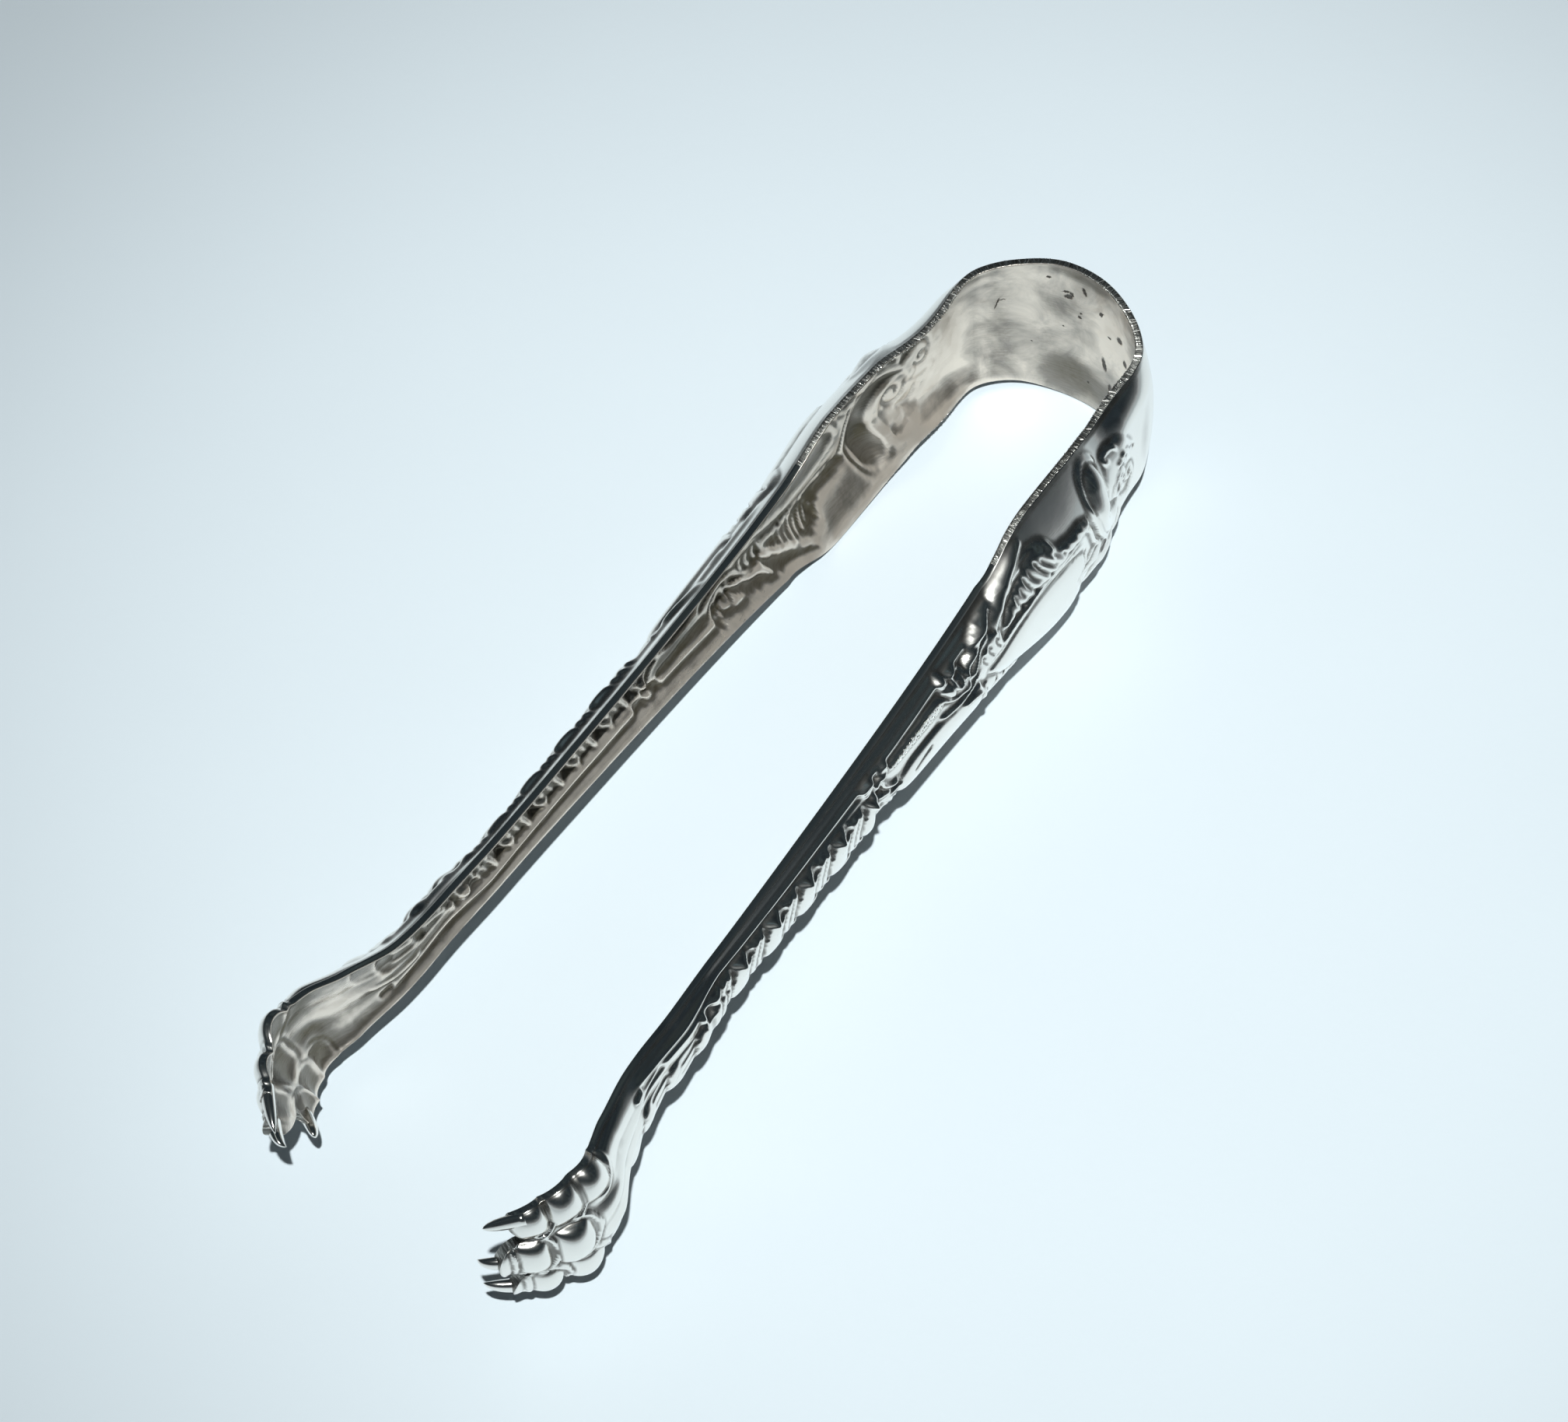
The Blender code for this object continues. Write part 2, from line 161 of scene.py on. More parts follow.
def on_strip(s, v, height):
    """Points of the right half, in millimetres, at these places and heights over the strip's edges."""
    x, y, heading = (np.interp(np.abs(s), LINE[0], column) for column in LINE[1:])
    x = np.where(s < 0, -x, x)
    heading = np.where(s < 0, math.pi - heading, heading)
    return np.stack(
        [x + height * np.cos(heading), y + height * np.sin(heading), BLANK_WIDTH / 2 + v], -1
    )


class Relief:
    """Height of the die over the plain strip, on a grid of places, in millimetres."""

    def __init__(self, s, v):
        self.s, self.v = s, v
        self.height = np.zeros(s.shape)

    def window(self, points, reach):
        """The part of the grid near these points, as a mask."""
        low, high = np.min(points, 0) - reach, np.max(points, 0) + reach
        return (self.s > low[0]) & (self.s < high[0]) & (self.v > low[1]) & (self.v < high[1])

    def distance(self, near, points):
        """Distance to a line through the points, and the share of its length where it is nearest."""
        s, v = self.s[near], self.v[near]
        best = np.full(s.shape, 1e9)
        share = np.zeros(s.shape)
        lengths = np.linalg.norm(np.diff(points, axis=0), axis=1)
        total, done = lengths.sum(), 0.0
        for (a, b), length in zip(zip(points, points[1:]), lengths):
            d = b - a
            t = np.clip(((s - a[0]) * d[0] + (v - a[1]) * d[1]) / (length * length + 1e-12), 0, 1)
            gap = np.hypot(s - a[0] - t * d[0], v - a[1] - t * d[1])
            closer = gap < best
            best[closer] = gap[closer]
            share[closer] = ((done + t * length) / total)[closer]
            done += length
        return best, share

    def ridge(self, points, width, height, fade=0.15):
        """A raised line, or a groove where the height is negative, which runs out at both ends."""
        points = curve_through(points)
        near = self.window(points, width)
        gap, share = self.distance(near, points)
        ends = smooth(share / fade) * smooth((1 - share) / fade)
        self.height[near] += height * (1 - smooth(gap / width)) * ends

    def body(self, points, widths, height, power=1.0):
        """A rounded form along a line whose half width changes, standing on what is there."""
        points = curve_through(points)
        near = self.window(points, max(widths))
        gap, share = self.distance(near, points)
        half = np.interp(share, np.linspace(0, 1, len(widths)), widths)
        self.height[near] += height * np.clip(1 - (gap / half) ** 2, 0, 1) ** power * half / max(widths)

    def plate(self, points, height, bevel):
        """A raised region inside a closed outline, with rounded shoulders of this width."""
        points = curve_through(list(points) + [points[0]])
        near = self.window(points, 0.01)
        gap, _ = self.distance(near, points)
        s, v = self.s[near], self.v[near]
        inside = np.zeros(s.shape, bool)
        for a, b in zip(points, points[1:]):
            crosses = (a[1] > v) != (b[1] > v)
            at = a[0] + (v - a[1]) * (b[0] - a[0]) / (b[1] - a[1] + 1e-12)
            inside ^= crosses & (s < at)
        part = np.clip(gap / bevel, 0, 1)
        self.height[near] += np.where(inside, height * np.sqrt(1 - (1 - part) ** 2), 0)

    def scroll(self, centre, radius, start, turns, width, height, hand=1):
        """A spiral that winds in to an eye."""
        t = np.linspace(0, 1, 40)
        reach = radius * (1 - 0.8 * t)
        angle = math.radians(start) + hand * 2 * math.pi * turns * t
        points = np.stack([centre[0] + reach * np.cos(angle), centre[1] + reach * np.sin(angle)], -1)
        near = self.window(points, width)
        gap, share = self.distance(near, points)
        self.height[near] += height * (1 - smooth(gap / width)) * smooth((1 - share) / 0.1)


def curve_through(points, parts=6):
    """A smooth line through a few points."""
    points = np.array(points, float)
    if len(points) < 3:
        return points
    before = np.concatenate([[2 * points[0] - points[1]], points, [2 * points[-1] - points[-2]]])
    rows = []
    for i in range(1, len(before) - 2):
        p0, p1, p2, p3 = before[i - 1 : i + 3]
        for t in np.arange(parts) / parts:
            rows.append(
                0.5 * (2 * p1 + (p2 - p0) * t + (2 * p0 - 5 * p1 + 4 * p2 - p3) * t * t
                       + (3 * p1 - p0 - 3 * p2 + p3) * t ** 3)
            )
    rows.append(points[-1])
    return np.array(rows)


def bow_scrolls(relief):
    """The light scrolls where the arm leaves the bow."""
    relief.scroll((15.0, -1.0), 0.95, 20, 1.25, 0.28, 0.28)
    relief.ridge([(14.1, -0.9), (14.2, -2.2), (15.0, -3.0), (16.0, -2.9), (17.0, -2.0)], 0.35, 0.28)
    relief.plate(
        [(13.7, 1.2), (14.8, 3.2), (16.2, 5.0), (17.8, 5.3), (19.2, 5.0), (19.9, 3.2), (19.8, 1.2),
         (18.6, -0.2), (17.3, -0.6), (16.4, 0.6), (15.2, 1.4)],
        0.3, 1.2,
    )
    relief.scroll((18.2, 1.5), 1.45, 200, 1.3, 0.34, 0.34, hand=-1)
    relief.ridge([(15.5, 2.2), (15.9, 3.1), (16.8, 3.8), (17.4, 3.5)], 0.3, 0.3)
    relief.ridge([(16.4, 2.9), (17.1, 3.3), (18.1, 3.6)], 0.26, 0.25)
    relief.ridge([(17.2, 4.5), (17.5, 5.0), (18.3, 5.2), (19.1, 5.1), (19.1, 4.7), (18.4, 4.6)], 0.26, 0.32)
    relief.ridge([(13.6, 0.9), (14.5, 2.0), (15.5, 2.6)], 0.26, -0.2)
    relief.ridge([(15.8, -0.5), (16.4, 0.6), (17.0, 1.5)], 0.26, -0.22)
    relief.body([(17.1, -2.2), (16.9, -3.0), (17.3, -4.0), (18.1, -4.8)], (0.5, 0.6, 0.2), 0.3)
    relief.body([(18.0, -2.7), (18.6, -3.1), (19.0, -4.0)], (0.35, 0.45, 0.2), 0.3)
    relief.body([(17.3, -1.8), (19.5, -2.7), (21.6, -3.4)], (0.25, 0.55, 0.3), 0.25)


def comma_boss(relief):
    """The polished comma with its round head, the leaf beside its tail and the lines that frame them."""
    relief.body(
        [(21.7, 5.2), (22.2, 3.6), (22.2, 2.2), (21.7, 0.8), (20.6, -0.5), (19.2, -1.1), (17.4, -0.9)],
        (1.45, 1.3, 1.2, 1.1, 0.95, 0.75, 0.3), 1.05, 0.6,
    )
    relief.ridge([(19.9, 5.2), (20.3, 6.2), (21.5, 6.9), (22.8, 6.5), (23.5, 5.2), (23.6, 3.4)], 0.4, 0.3)
    relief.ridge(
        [(23.7, 5.4), (23.7, 3.8), (23.3, 2.0), (22.7, 0.5), (21.6, -0.9), (20.2, -2.0), (18.6, -2.4)],
        0.34, 0.42,
    )
    relief.ridge([(25.0, 3.6), (24.3, 2.8), (23.9, 1.7), (23.4, 0.4), (22.4, -0.9)], 0.34, 0.4)
    relief.body([(21.9, -1.2), (23.0, -1.6), (24.9, -2.0)], (0.5, 0.95, 0.25), 0.45, 0.7)
    relief.ridge([(21.4, -1.6), (22.3, -0.4), (23.5, -0.5), (24.9, -1.3)], 0.26, 0.3)
    relief.body([(20.6, -3.2), (22.4, -3.9), (24.2, -4.2)], (0.4, 0.8, 0.3), 0.4, 0.7)
    relief.body([(19.0, -4.4), (20.8, -5.3), (23.0, -5.6)], (0.35, 0.7, 0.3), 0.35, 0.7)
    relief.ridge([(18.6, -5.4), (20.2, -6.5), (22.6, -6.8), (25.0, -6.6)], 0.35, 0.25)


def cartouche(relief):
    """The smooth shield of the shoulder, in its double frame."""
    top = [(25.5, 1.0), (26.6, 1.9), (28.2, 2.25), (30.5, 2.3), (33.0, 2.05), (35.2, 1.5), (37.2, 0.8),
           (39.2, 0.2)]
    low = [(37.8, -1.1), (36.2, -2.2), (34.0, -3.4), (31.5, -4.5), (29.0, -5.0), (27.0, -4.6),
           (26.0, -3.3), (25.9, -1.6), (25.2, 0.0)]
    relief.plate(top + low, 0.5, 1.3)
    relief.ridge([(24.8, 1.4)] + [(s, v + 0.36) for s, v in top[1:]], 0.26, 0.3)
    relief.ridge(
        [(24.6, 3.0), (26.4, 3.2), (28.4, 3.1), (31.0, 3.1), (33.2, 2.75), (35.6, 2.1), (38.4, 1.15)], 0.3,
        0.36,
    )
    relief.ridge([(s, v - 0.1) for s, v in reversed(low)] + [(39.2, 0.0)], 0.34, 0.28)
    relief.ridge([(24.6, 0.8), (25.6, -0.4), (26.9, -1.2)], 0.22, -0.25)
    relief.ridge([(24.6, -0.2), (25.3, -1.2), (26.2, -2.2)], 0.26, 0.25)


def acanthus(relief):
    """The ribbed leaf over the shield, with its scalloped hem."""
    relief.plate(
        [(24.2, 4.2), (25.6, 4.7), (27.2, 4.8), (28.7, 5.1), (29.3, 5.9), (30.6, 6.2), (32.1, 5.9),
         (33.4, 5.2), (34.7, 4.4), (36.0, 3.3), (36.4, 2.6), (34.4, 3.0), (32.4, 3.4), (29.5, 3.55),
         (26.6, 3.6), (24.9, 3.5)],
        0.5, 0.55,
    )
    ribs = (
        ((30.9, 5.5), (30.2, 4.6), (29.2, 3.9), 0.24), ((31.5, 5.7), (31.0, 4.5), (29.9, 3.35), 0.3),
        ((32.2, 5.6), (32.15, 4.7), (31.3, 3.75), 0.2), ((32.9, 5.2), (32.7, 4.0), (31.8, 3.1), 0.3),
        ((33.5, 4.7), (33.6, 4.1), (33.0, 3.5), 0.18), ((34.2, 4.4), (34.3, 3.6), (33.5, 2.75), 0.26),
        ((35.0, 3.9), (35.1, 3.4), (34.6, 2.95), 0.16), ((30.0, 5.4), (29.3, 4.9), (28.3, 4.1), 0.2),
    )
    for *rib, sink in ribs:
        relief.ridge(rib, 0.9 * sink, -sink, 0.1)
        relief.ridge([(s + 0.36, v - 0.1) for s, v in rib], 0.8 * sink, 0.4 * sink, 0.15)
    for start, sink in ((24.6, 0.16), (25.5, 0.24), (26.7, 0.2), (27.6, 0.28)):
        relief.ridge(
            [(start + 1.0, 4.6), (start + 0.6, 4.1), (start + 0.1, 3.8), (start - 0.5, 3.45)], 0.22, -sink,
            0.2,
        )
    relief.ridge([(29.0, 5.2), (29.6, 6.1), (31.0, 6.35), (32.6, 5.9), (34.3, 4.9), (35.6, 4.0)], 0.26, 0.3)
    relief.body([(29.5, 5.7), (29.8, 5.2), (29.9, 4.6)], (0.42, 0.38, 0.2), 0.3)


def flares(relief):
    """The long S-shaped leaves that sweep down to the first collar."""
    relief.body(
        [(31.3, 7.1), (33.2, 6.35), (35.2, 5.4), (36.7, 4.3), (37.4, 3.3)], (0.2, 0.55, 0.75, 0.65, 0.2), 1.0,
        0.7,
    )
    relief.ridge([(32.2, 5.9), (33.9, 5.3), (35.5, 4.4), (36.5, 3.5)], 0.26, 0.3)
    relief.body([(36.6, 5.3), (38.2, 4.6), (40.0, 3.8), (42.2, 2.6)], (0.2, 0.55, 0.5, 0.15), 0.85, 0.7)
    relief.ridge([(38.0, 3.8), (39.6, 3.1), (41.6, 1.9)], 0.24, 0.34)
    relief.ridge([(38.3, 4.1), (40.0, 3.4), (41.9, 2.2)], 0.16, -0.22)
    relief.plate([(36.9, 3.0), (38.0, 3.55), (39.2, 3.1), (40.2, 2.2), (41.1, 1.3), (39.8, 1.1), (38.3, 1.25),
                  (37.1, 1.7)], 0.36, 0.5)
    for s, v in ((37.5, 2.6), (38.5, 2.5), (39.4, 2.2)):
        relief.ridge([(s, v + 0.4), (s + 0.35, v - 0.1), (s - 0.1, v - 0.8)], 0.18, -0.28, 0.1)
    relief.plate([(33.6, -4.2), (36.0, -2.8), (38.2, -1.2), (39.8, -0.3), (40.5, -1.4), (39.6, -3.2),
                  (37.4, -4.6), (35.2, -5.4)], 0.4, 0.7)
    for s, v in ((35.4, -3.7), (37.0, -2.9), (38.4, -2.1)):
        relief.ridge([(s - 0.5, v + 0.6), (s + 0.4, v), (s + 0.9, v - 1.1)], 0.24, -0.4, 0.1)


def panel(relief):
    """The smooth teardrop between the two collars, with the stippled band over it."""
    relief.plate(
        [(40.4, 0.3), (42.2, 0.45), (44.2, 0.6), (46.2, 1.05), (48.5, 1.1), (50.6, 0.9), (52.0, 0.0),
         (52.0, -1.4), (50.5, -2.5), (48.2, -3.0), (45.4, -3.5), (42.6, -3.8), (40.6, -3.0), (39.9, -1.4)],
        0.55, 1.0,
    )
    relief.ridge([(47.4, 0.25), (48.8, 0.05), (50.3, -0.45)], 0.35, -0.25)
    relief.ridge([(46.0, -3.9), (48.6, -3.45), (51.2, -2.7), (52.6, -1.3)], 0.3, 0.25)
    relief.plate(
        [(45.0, 2.0), (45.4, 2.85), (48.0, 2.75), (50.6, 2.5), (52.6, 2.25), (52.3, 1.75), (50.0, 1.8),
         (47.0, 1.85)],
        0.22, 0.25,
    )


def collars(relief):
    """The two bands of small scrolls that part the smooth forms."""
    relief.body([(39.2, 2.75), (40.8, 2.35), (42.2, 2.3), (43.2, 2.9)], (0.2, 0.5, 0.85, 1.1), 0.5, 0.7)
    relief.scroll((42.9, 3.0), 0.95, 190, 1.2, 0.3, 0.38, hand=-1)
    relief.body([(44.1, 2.6), (44.3, 3.3), (44.2, 3.9)], (0.45, 0.6, 0.4), 0.62, 0.6)
    relief.ridge([(40.6, 1.6), (41.6, 1.0), (43.2, 0.72), (44.8, 1.0), (46.2, 1.4)], 0.34, 0.42)
    relief.ridge([(41.8, 2.3), (42.3, 1.65), (43.4, 1.6), (44.5, 2.1), (45.3, 2.9)], 0.3, 0.42)
    relief.ridge([(40.2, -0.6), (41.6, -0.1), (43.2, 0.2)], 0.3, 0.25)
    relief.body([(52.9, 2.6), (53.7, 2.3)], (0.42, 0.42), 0.55, 0.6)
    relief.body([(54.3, 2.15), (54.6, 1.95)], (0.3, 0.3), 0.4, 0.6)
    relief.body([(54.95, 2.55), (55.9, 2.35)], (0.46, 0.46), 0.55, 0.6)
    relief.ridge([(51.9, 0.5), (53.0, 0.75), (53.8, 1.35), (54.1, 2.1)], 0.32, 0.45)
    relief.ridge([(53.0, 0.25), (54.4, 0.8), (55.1, 1.5), (55.3, 2.1)], 0.32, 0.45)
    relief.ridge([(51.6, -0.3), (53.6, 0.0), (55.4, 0.9), (56.3, 1.9)], 0.34, 0.4)
    relief.ridge([(55.0, -0.1), (53.9, -1.1), (53.0, -2.6)], 0.45, -0.4)
    relief.ridge([(54.0, -0.4), (52.8, -1.6), (52.4, -3.2)], 0.35, 0.3)


def twisted_stem(relief):
    """The leafy twist of the stem: fans of three flutes, each fan parted by a pit at its top."""
    s, v = relief.s, relief.v
    near = (s > 54.0) & (s < 79.5)
    s, v = s[near], v[near]
    pitch = 4.6
    half = along(WIDTHS, s) / 2
    lean = np.interp(v, (-3.4, -2.8, -2.0, -1.0, 0.0, 1.0, 1.8), (-2.6, -1.3, -0.4, 0.12, 0.0, -0.55, -1.2))
    turn = np.mod((s - 57.4 - lean) / pitch, 1.0)
    flutes = np.zeros(s.shape)
    for place, width, depth in ((0.0, 0.075, 1.0), (0.2, 0.05, 0.6), (0.4, 0.055, 0.75)):
        gap = np.abs(np.mod(turn - place + 0.5, 1.0) - 0.5)
        flutes -= depth * (1 - smooth(gap / width))
    wide = np.clip(1 - ((turn - 0.7) / 0.28) ** 2, 0, 1)
    ends = smooth((s - 54.6) / 1.6) * smooth((79.0 - s) / 1.6)
    across = smooth((1.85 - v) / 0.5) * smooth((half - 0.35 + v) / 0.6)
    relief.height[near] += ends * across * (0.5 + 0.3 * flutes + 0.16 * wide)
    for i in range(5):
        start = 54.3 + pitch * i
        relief.body([(start, 1.35), (start + 0.55, 1.15)], (0.42, 0.3), -0.5)
        relief.body([(start + 1.25, 1.25), (start + 1.45, 0.7)], (0.42, 0.25), 0.38)
        relief.body([(start + 2.3, 1.35), (start + 2.5, 0.7)], (0.36, 0.2), -0.34)


def husks(relief):
    """The leafy husks at the end of the stem, each a scale whose free end hangs over the next."""
    relief.body([(75.6, 0.2), (77.6, -0.2), (80.0, -0.6)], (0.4, 1.2, 1.7), 0.62, 0.6)
    relief.body([(78.5, 0.95), (79.1, 0.75)], (0.5, 0.45), -0.45)
    relief.body([(79.7, 1.25), (79.9, 0.6)], (0.42, 0.32), 0.5)
    relief.body([(80.4, 0.4), (82.0, -0.3), (83.8, -0.9)], (0.5, 1.3, 1.75), 0.55, 0.6)
    relief.body([(84.2, 0.3), (86.0, -0.4), (88.0, -1.1)], (0.5, 1.25, 1.7), 0.5, 0.6)
    relief.body([(88.0, -0.7), (89.6, -1.3), (91.0, -1.9)], (0.5, 1.0, 1.25), 0.35, 0.6)
    for i in range(3):
        relief.ridge([(84.8, 0.6 - 0.6 * i), (86.4, 0.4 - 0.85 * i), (88.2, 0.0 - 1.0 * i)], 0.2, -0.16, 0.2)
        relief.ridge([(80.9, 0.6 - 0.5 * i), (82.4, 0.3 - 0.8 * i), (84.0, 0.0 - 0.9 * i)], 0.2, -0.14, 0.2)
    relief.body([(88.6, 2.3), (89.6, 2.3)], (0.3, 0.3), 0.3)
    relief.ridge([(84.5, 1.6), (87.0, 1.5), (89.0, 1.3), (91.0, 0.6)], 0.4, -0.3)


def mouldings(relief):
    """The thin bead along each border of the arm, with a groove on its inner side."""
    s, v = relief.s, relief.v
    near = (s > 36) & (s < 91)
    s, v = s[near], v[near]
    edge = along(WIDTHS, s) / 2
    depth = np.interp(s, (36, 44, 52, 66, 76, 90), (1.0, 0.9, 0.95, 0.8, 0.6, 0.7))
    ends = smooth((s - 37) / 3) * smooth((90 - s) / 4)
    for side in (1, -1):
        line = side * v - (edge - depth)
        relief.height[near] += ends * 0.24 * (1 - smooth(np.abs(line) / 0.3))
        relief.height[near] -= ends * 0.2 * (1 - smooth(np.abs(line + 0.46) / 0.3))


def stamped_height(s, v):
    """Height of all that the die stamps on the arm, faded out towards the plain borders."""
    relief = Relief(s, v)
    for part in (bow_scrolls, comma_boss, cartouche, acanthus, flares, panel, collars, twisted_stem, husks,
                 mouldings):
        part(relief)
    edge = along(WIDTHS, np.abs(s)) / 2 - np.abs(v)
    return relief.height * smooth(edge / 0.5)


KNUCKLES = ((97.4, 99.8, 102.5), (99.9, 103.0, 105.2), (99.2, 102.3, 104.4))  # upper, middle, lower toe
TOE_SHARES = (0.8, 0.0, -0.8)
TOE_ENDS = (103.9, 105.2, 104.4)


def toe_height(s, q):
    """Height of the toes over the foot's arch: balls in rows, each in the folds of skin behind it."""
    height = np.zeros(s.shape)
    folds = np.zeros(s.shape)
    half = along(WIDTHS, s) / 2
    for middle, knuckles in zip(TOE_SHARES, KNUCKLES):
        u = (q - middle) / 0.37
        swell = 0.35 - 0.1 * smooth((s - 101.5) / 2.0)
        for place in knuckles:
            swell = swell + 0.9 * np.clip(1 - ((s - place) / 1.3) ** 2, 0, 1) ** 0.7
            gap = np.hypot(s - place, (q - middle) * half)
            behind = smooth((place + 0.6 - s) / 1.4)
            folds = np.maximum(folds, 0.34 * behind * (1 - smooth(np.abs(gap - 1.85) / 0.38)))
        height = np.maximum(height, np.sqrt(np.clip(1 - u ** 2, 0, 1)) * swell)
    return np.maximum(height, 0.2 + folds) * smooth((s - 94.0) / 4.0)


def leg_height(s, q):
    """Height of the upper flank of the leg, and of the two sinews that run from the ankle to the foot."""
    rise = 0.8 * smooth((s - 76.0) / 6.0) * smooth((99.0 - s) / 3.5)
    edge = (1 - np.abs(q)) * along(WIDTHS, s) / 2
    flank = 1 - (1 - np.clip(edge / 1.5, 0, 1)) ** 1.6
    fade = smooth((s - 87.0) / 2.5) * smooth((100.0 - s) / 3.5)
    upper = 1 - smooth(np.abs(q - np.interp(s, (87, 94, 99), (0.42, 0.3, 0.0))) / 0.24)
    lower = 1 - smooth(np.abs(q - np.interp(s, (87, 94, 99), (-0.02, -0.14, -0.45))) / 0.24)
    return rise * flank + 0.34 * fade * (upper + lower)


def toe_reach(q):
    """Where the foot ends at each share q of its half width: round toes with notches between."""
    ends = [end - NOTCH * (1 - np.sqrt(1 - np.clip(np.abs(q - middle) / 0.4, 0, 1) ** 2))
            for middle, end in zip(TOE_SHARES, TOE_ENDS)]
    return np.max(ends, 0)


def surface(s, q, face):
    """Places across the strip and heights of one face of the right half: 1 is the outside, -1 the inside."""
    width = along(WIDTHS, np.abs(s))
    crown = along(CROWNS, np.abs(s))
    foot = smooth((s - 88.5) / 7.0)
    power = np.interp(np.abs(s), (12, 18, 30, 40, 76, 82), (2.4, 3.4, 3.0, 2.5, 2.4, 4.4))
    arch = (np.cos(q * ARCH) - math.cos(ARCH)) / (1 - math.cos(ARCH))
    v = width / 2 * (q * (1 - foot) + foot * np.sin(q * ARCH) / math.sin(ARCH))
    shoulder = smooth((np.abs(s) - 15.0) / 5.0) * (q > 0)
    inward = (1 - np.abs(q)) * width / 2 / (2.3 + 2.1 * shoulder)
    flank = 1 - (1 - np.clip(inward, 0, 1)) ** (1.6 - 0.35 * shoulder)
    last = 23.5 + 14.0 * (q > 0)
    steep = smooth((np.abs(s) - 8.5) / 4.0) * smooth((last - np.abs(s)) / 4.5)
    body = (1 - np.abs(q) ** power) * (1 - steep) + flank * steep
    height = crown * (body * (1 - foot) + arch * foot)
    height += along(UPPER_LIFTS, np.abs(s)) * (1 + q) / 2 + along(LOWER_LIFTS, np.abs(s)) * (1 - q) / 2
    stamped = stamped_height(s, q * width / 2)
    toes = toe_height(s, q) + leg_height(s, q)
    if face > 0:
        stamped = blurred(stamped) + SHEET / 2
    else:
        stamped, toes = blurred(stamped) * 0.85 - SHEET / 2, blurred(toes) * (0.5 + 0.5 * np.abs(q) ** 4)
    lean = q * ARCH * foot
    return v + toes * np.sin(lean), height + stamped + toes * np.cos(lean)


def blurred(field):
    """The field as the back of the sheet shows it, a little softened."""
    for _ in range(2):
        padded = np.pad(field, 1, mode="edge")
        field = (padded[1:-1, 1:-1] * 2 + padded[:-2, 1:-1] + padded[2:, 1:-1]
                 + padded[1:-1, :-2] + padded[1:-1, 2:]) / 6
    return field


def hollows(height):
    """How deep each place lies under those around it: 1 where polish never reaches, -1 on the ridges."""
    around = height
    for _ in range(4):
        around = blurred(around)
    return np.clip((around - height) / HOLLOW, -1, 1)


def shortened(s, q):
    """Places of the rows once the foot is notched between its toes."""
    return s - (FOOT_END - toe_reach(q)) * smooth((s - FOOT_END + 5.0) / 5.0)


def filed_rim(v_from, h_from, v_to, h_to, side):
    """Places and heights across a filed edge, which stands out a bevel's width on its side of the strip."""
    steps = np.linspace(0, 1, RIM_POINTS)[None, :]
    h = h_from[:, None] + (h_to - h_from)[:, None] * (0.1 + 0.8 * steps)
    v = v_from[:, None] + (v_to - v_from)[:, None] * steps + side * BEVEL
    return v, h


def half_strip(rows):
    """Rings of points round the right half, in millimetres, and the die place and face of each point.

    A ring runs over the outside from the lower edge to the upper one, down the filed upper edge, back
    over the inside and up the lower edge.
    """
    shares = []
    for count in (OUTER_POINTS, INNER_POINTS):
        t = np.linspace(-1, 1, count)
        shares.append(np.sign(t) * (1 - (1 - np.abs(t)) ** 0.93))
    s, q = np.meshgrid(rows, shares[0], indexing="ij")
    width = along(WIDTHS, np.abs(rows))
    cut = 1 - 2 * BEVEL / width[:, None]
    s = shortened(s, q)
    v_out, h_out = surface(s, q * cut, 1)
    s_in, q_in = np.meshgrid(rows, shares[1][::-1], indexing="ij")
    s_in = shortened(s_in, q_in)
    v_in, h_in = surface(s_in, q_in * cut, -1)
    v_up, h_up = filed_rim(v_out[:, -1], h_out[:, -1], v_in[:, 0], h_in[:, 0], 1)
    v_low, h_low = filed_rim(v_in[:, -1], h_in[:, -1], v_out[:, 0], h_out[:, 0], -1)
    v = np.concatenate([v_out, v_up, v_in, v_low], 1)
    h = np.concatenate([h_out, h_up, h_in, h_low], 1)
    s_up = np.repeat(s[:, -1:], RIM_POINTS, 1)
    s_low = np.repeat(s[:, :1], RIM_POINTS, 1)
    s_all = np.concatenate([s, s_up, s_in, s_low], 1)
    face = np.repeat((OUTSIDE, EDGE, INSIDE, EDGE), (OUTER_POINTS, RIM_POINTS, INNER_POINTS, RIM_POINTS))
    plain = np.zeros(s_up.shape)
    deep = np.concatenate([np.clip(hollows(h_out) - 0.12, 0, 1), plain, hollows(-h_in) * 0.8, plain], 1)
    return on_strip(s_all, v, h), s_all, v, face, deep


def ring_normals(points):
    """Unit normals of a closed ring grid, pointing out of the metal."""
    round_ = np.roll(points, -1, 1) - np.roll(points, 1, 1)
    down = np.gradient(points, axis=0)
    normal = np.cross(round_, down)
    return normal / (np.linalg.norm(normal, axis=2, keepdims=True) + 1e-12)


def turned(points, side):
    """Points of the right half, or turned half a turn about the long axis for the left one, whose claw
    has been bent a little: it stands further in, and its last toe is pushed back."""
    if side > 0:
        return points
    reach = smooth((-points[..., 1] - 84.0) / 14.0)
    last = smooth((points[..., 2] - BLANK_WIDTH / 2 + 1.0) / 5.0)
    bent = points + np.stack([-1.0 * reach, 2.4 * reach * last, 0 * reach], -1)
    return bent * (-1, 1, -1) + (0, 0, BLANK_WIDTH)


def zipped(near, far):
    """Triangles between two rows of vertices that run the same way."""
    i, j, faces = 0, 0, []
    while i < len(near) - 1 or j < len(far) - 1:
        if j == len(far) - 1 or (i < len(near) - 1 and (i + 1) / (len(near) - 1) <= (j + 1) / (len(far) - 1)):
            faces.append((near[i], near[i + 1], far[j]))
            i += 1
        else:
            faces.append((near[i], far[j + 1], far[j]))
            j += 1
    return faces


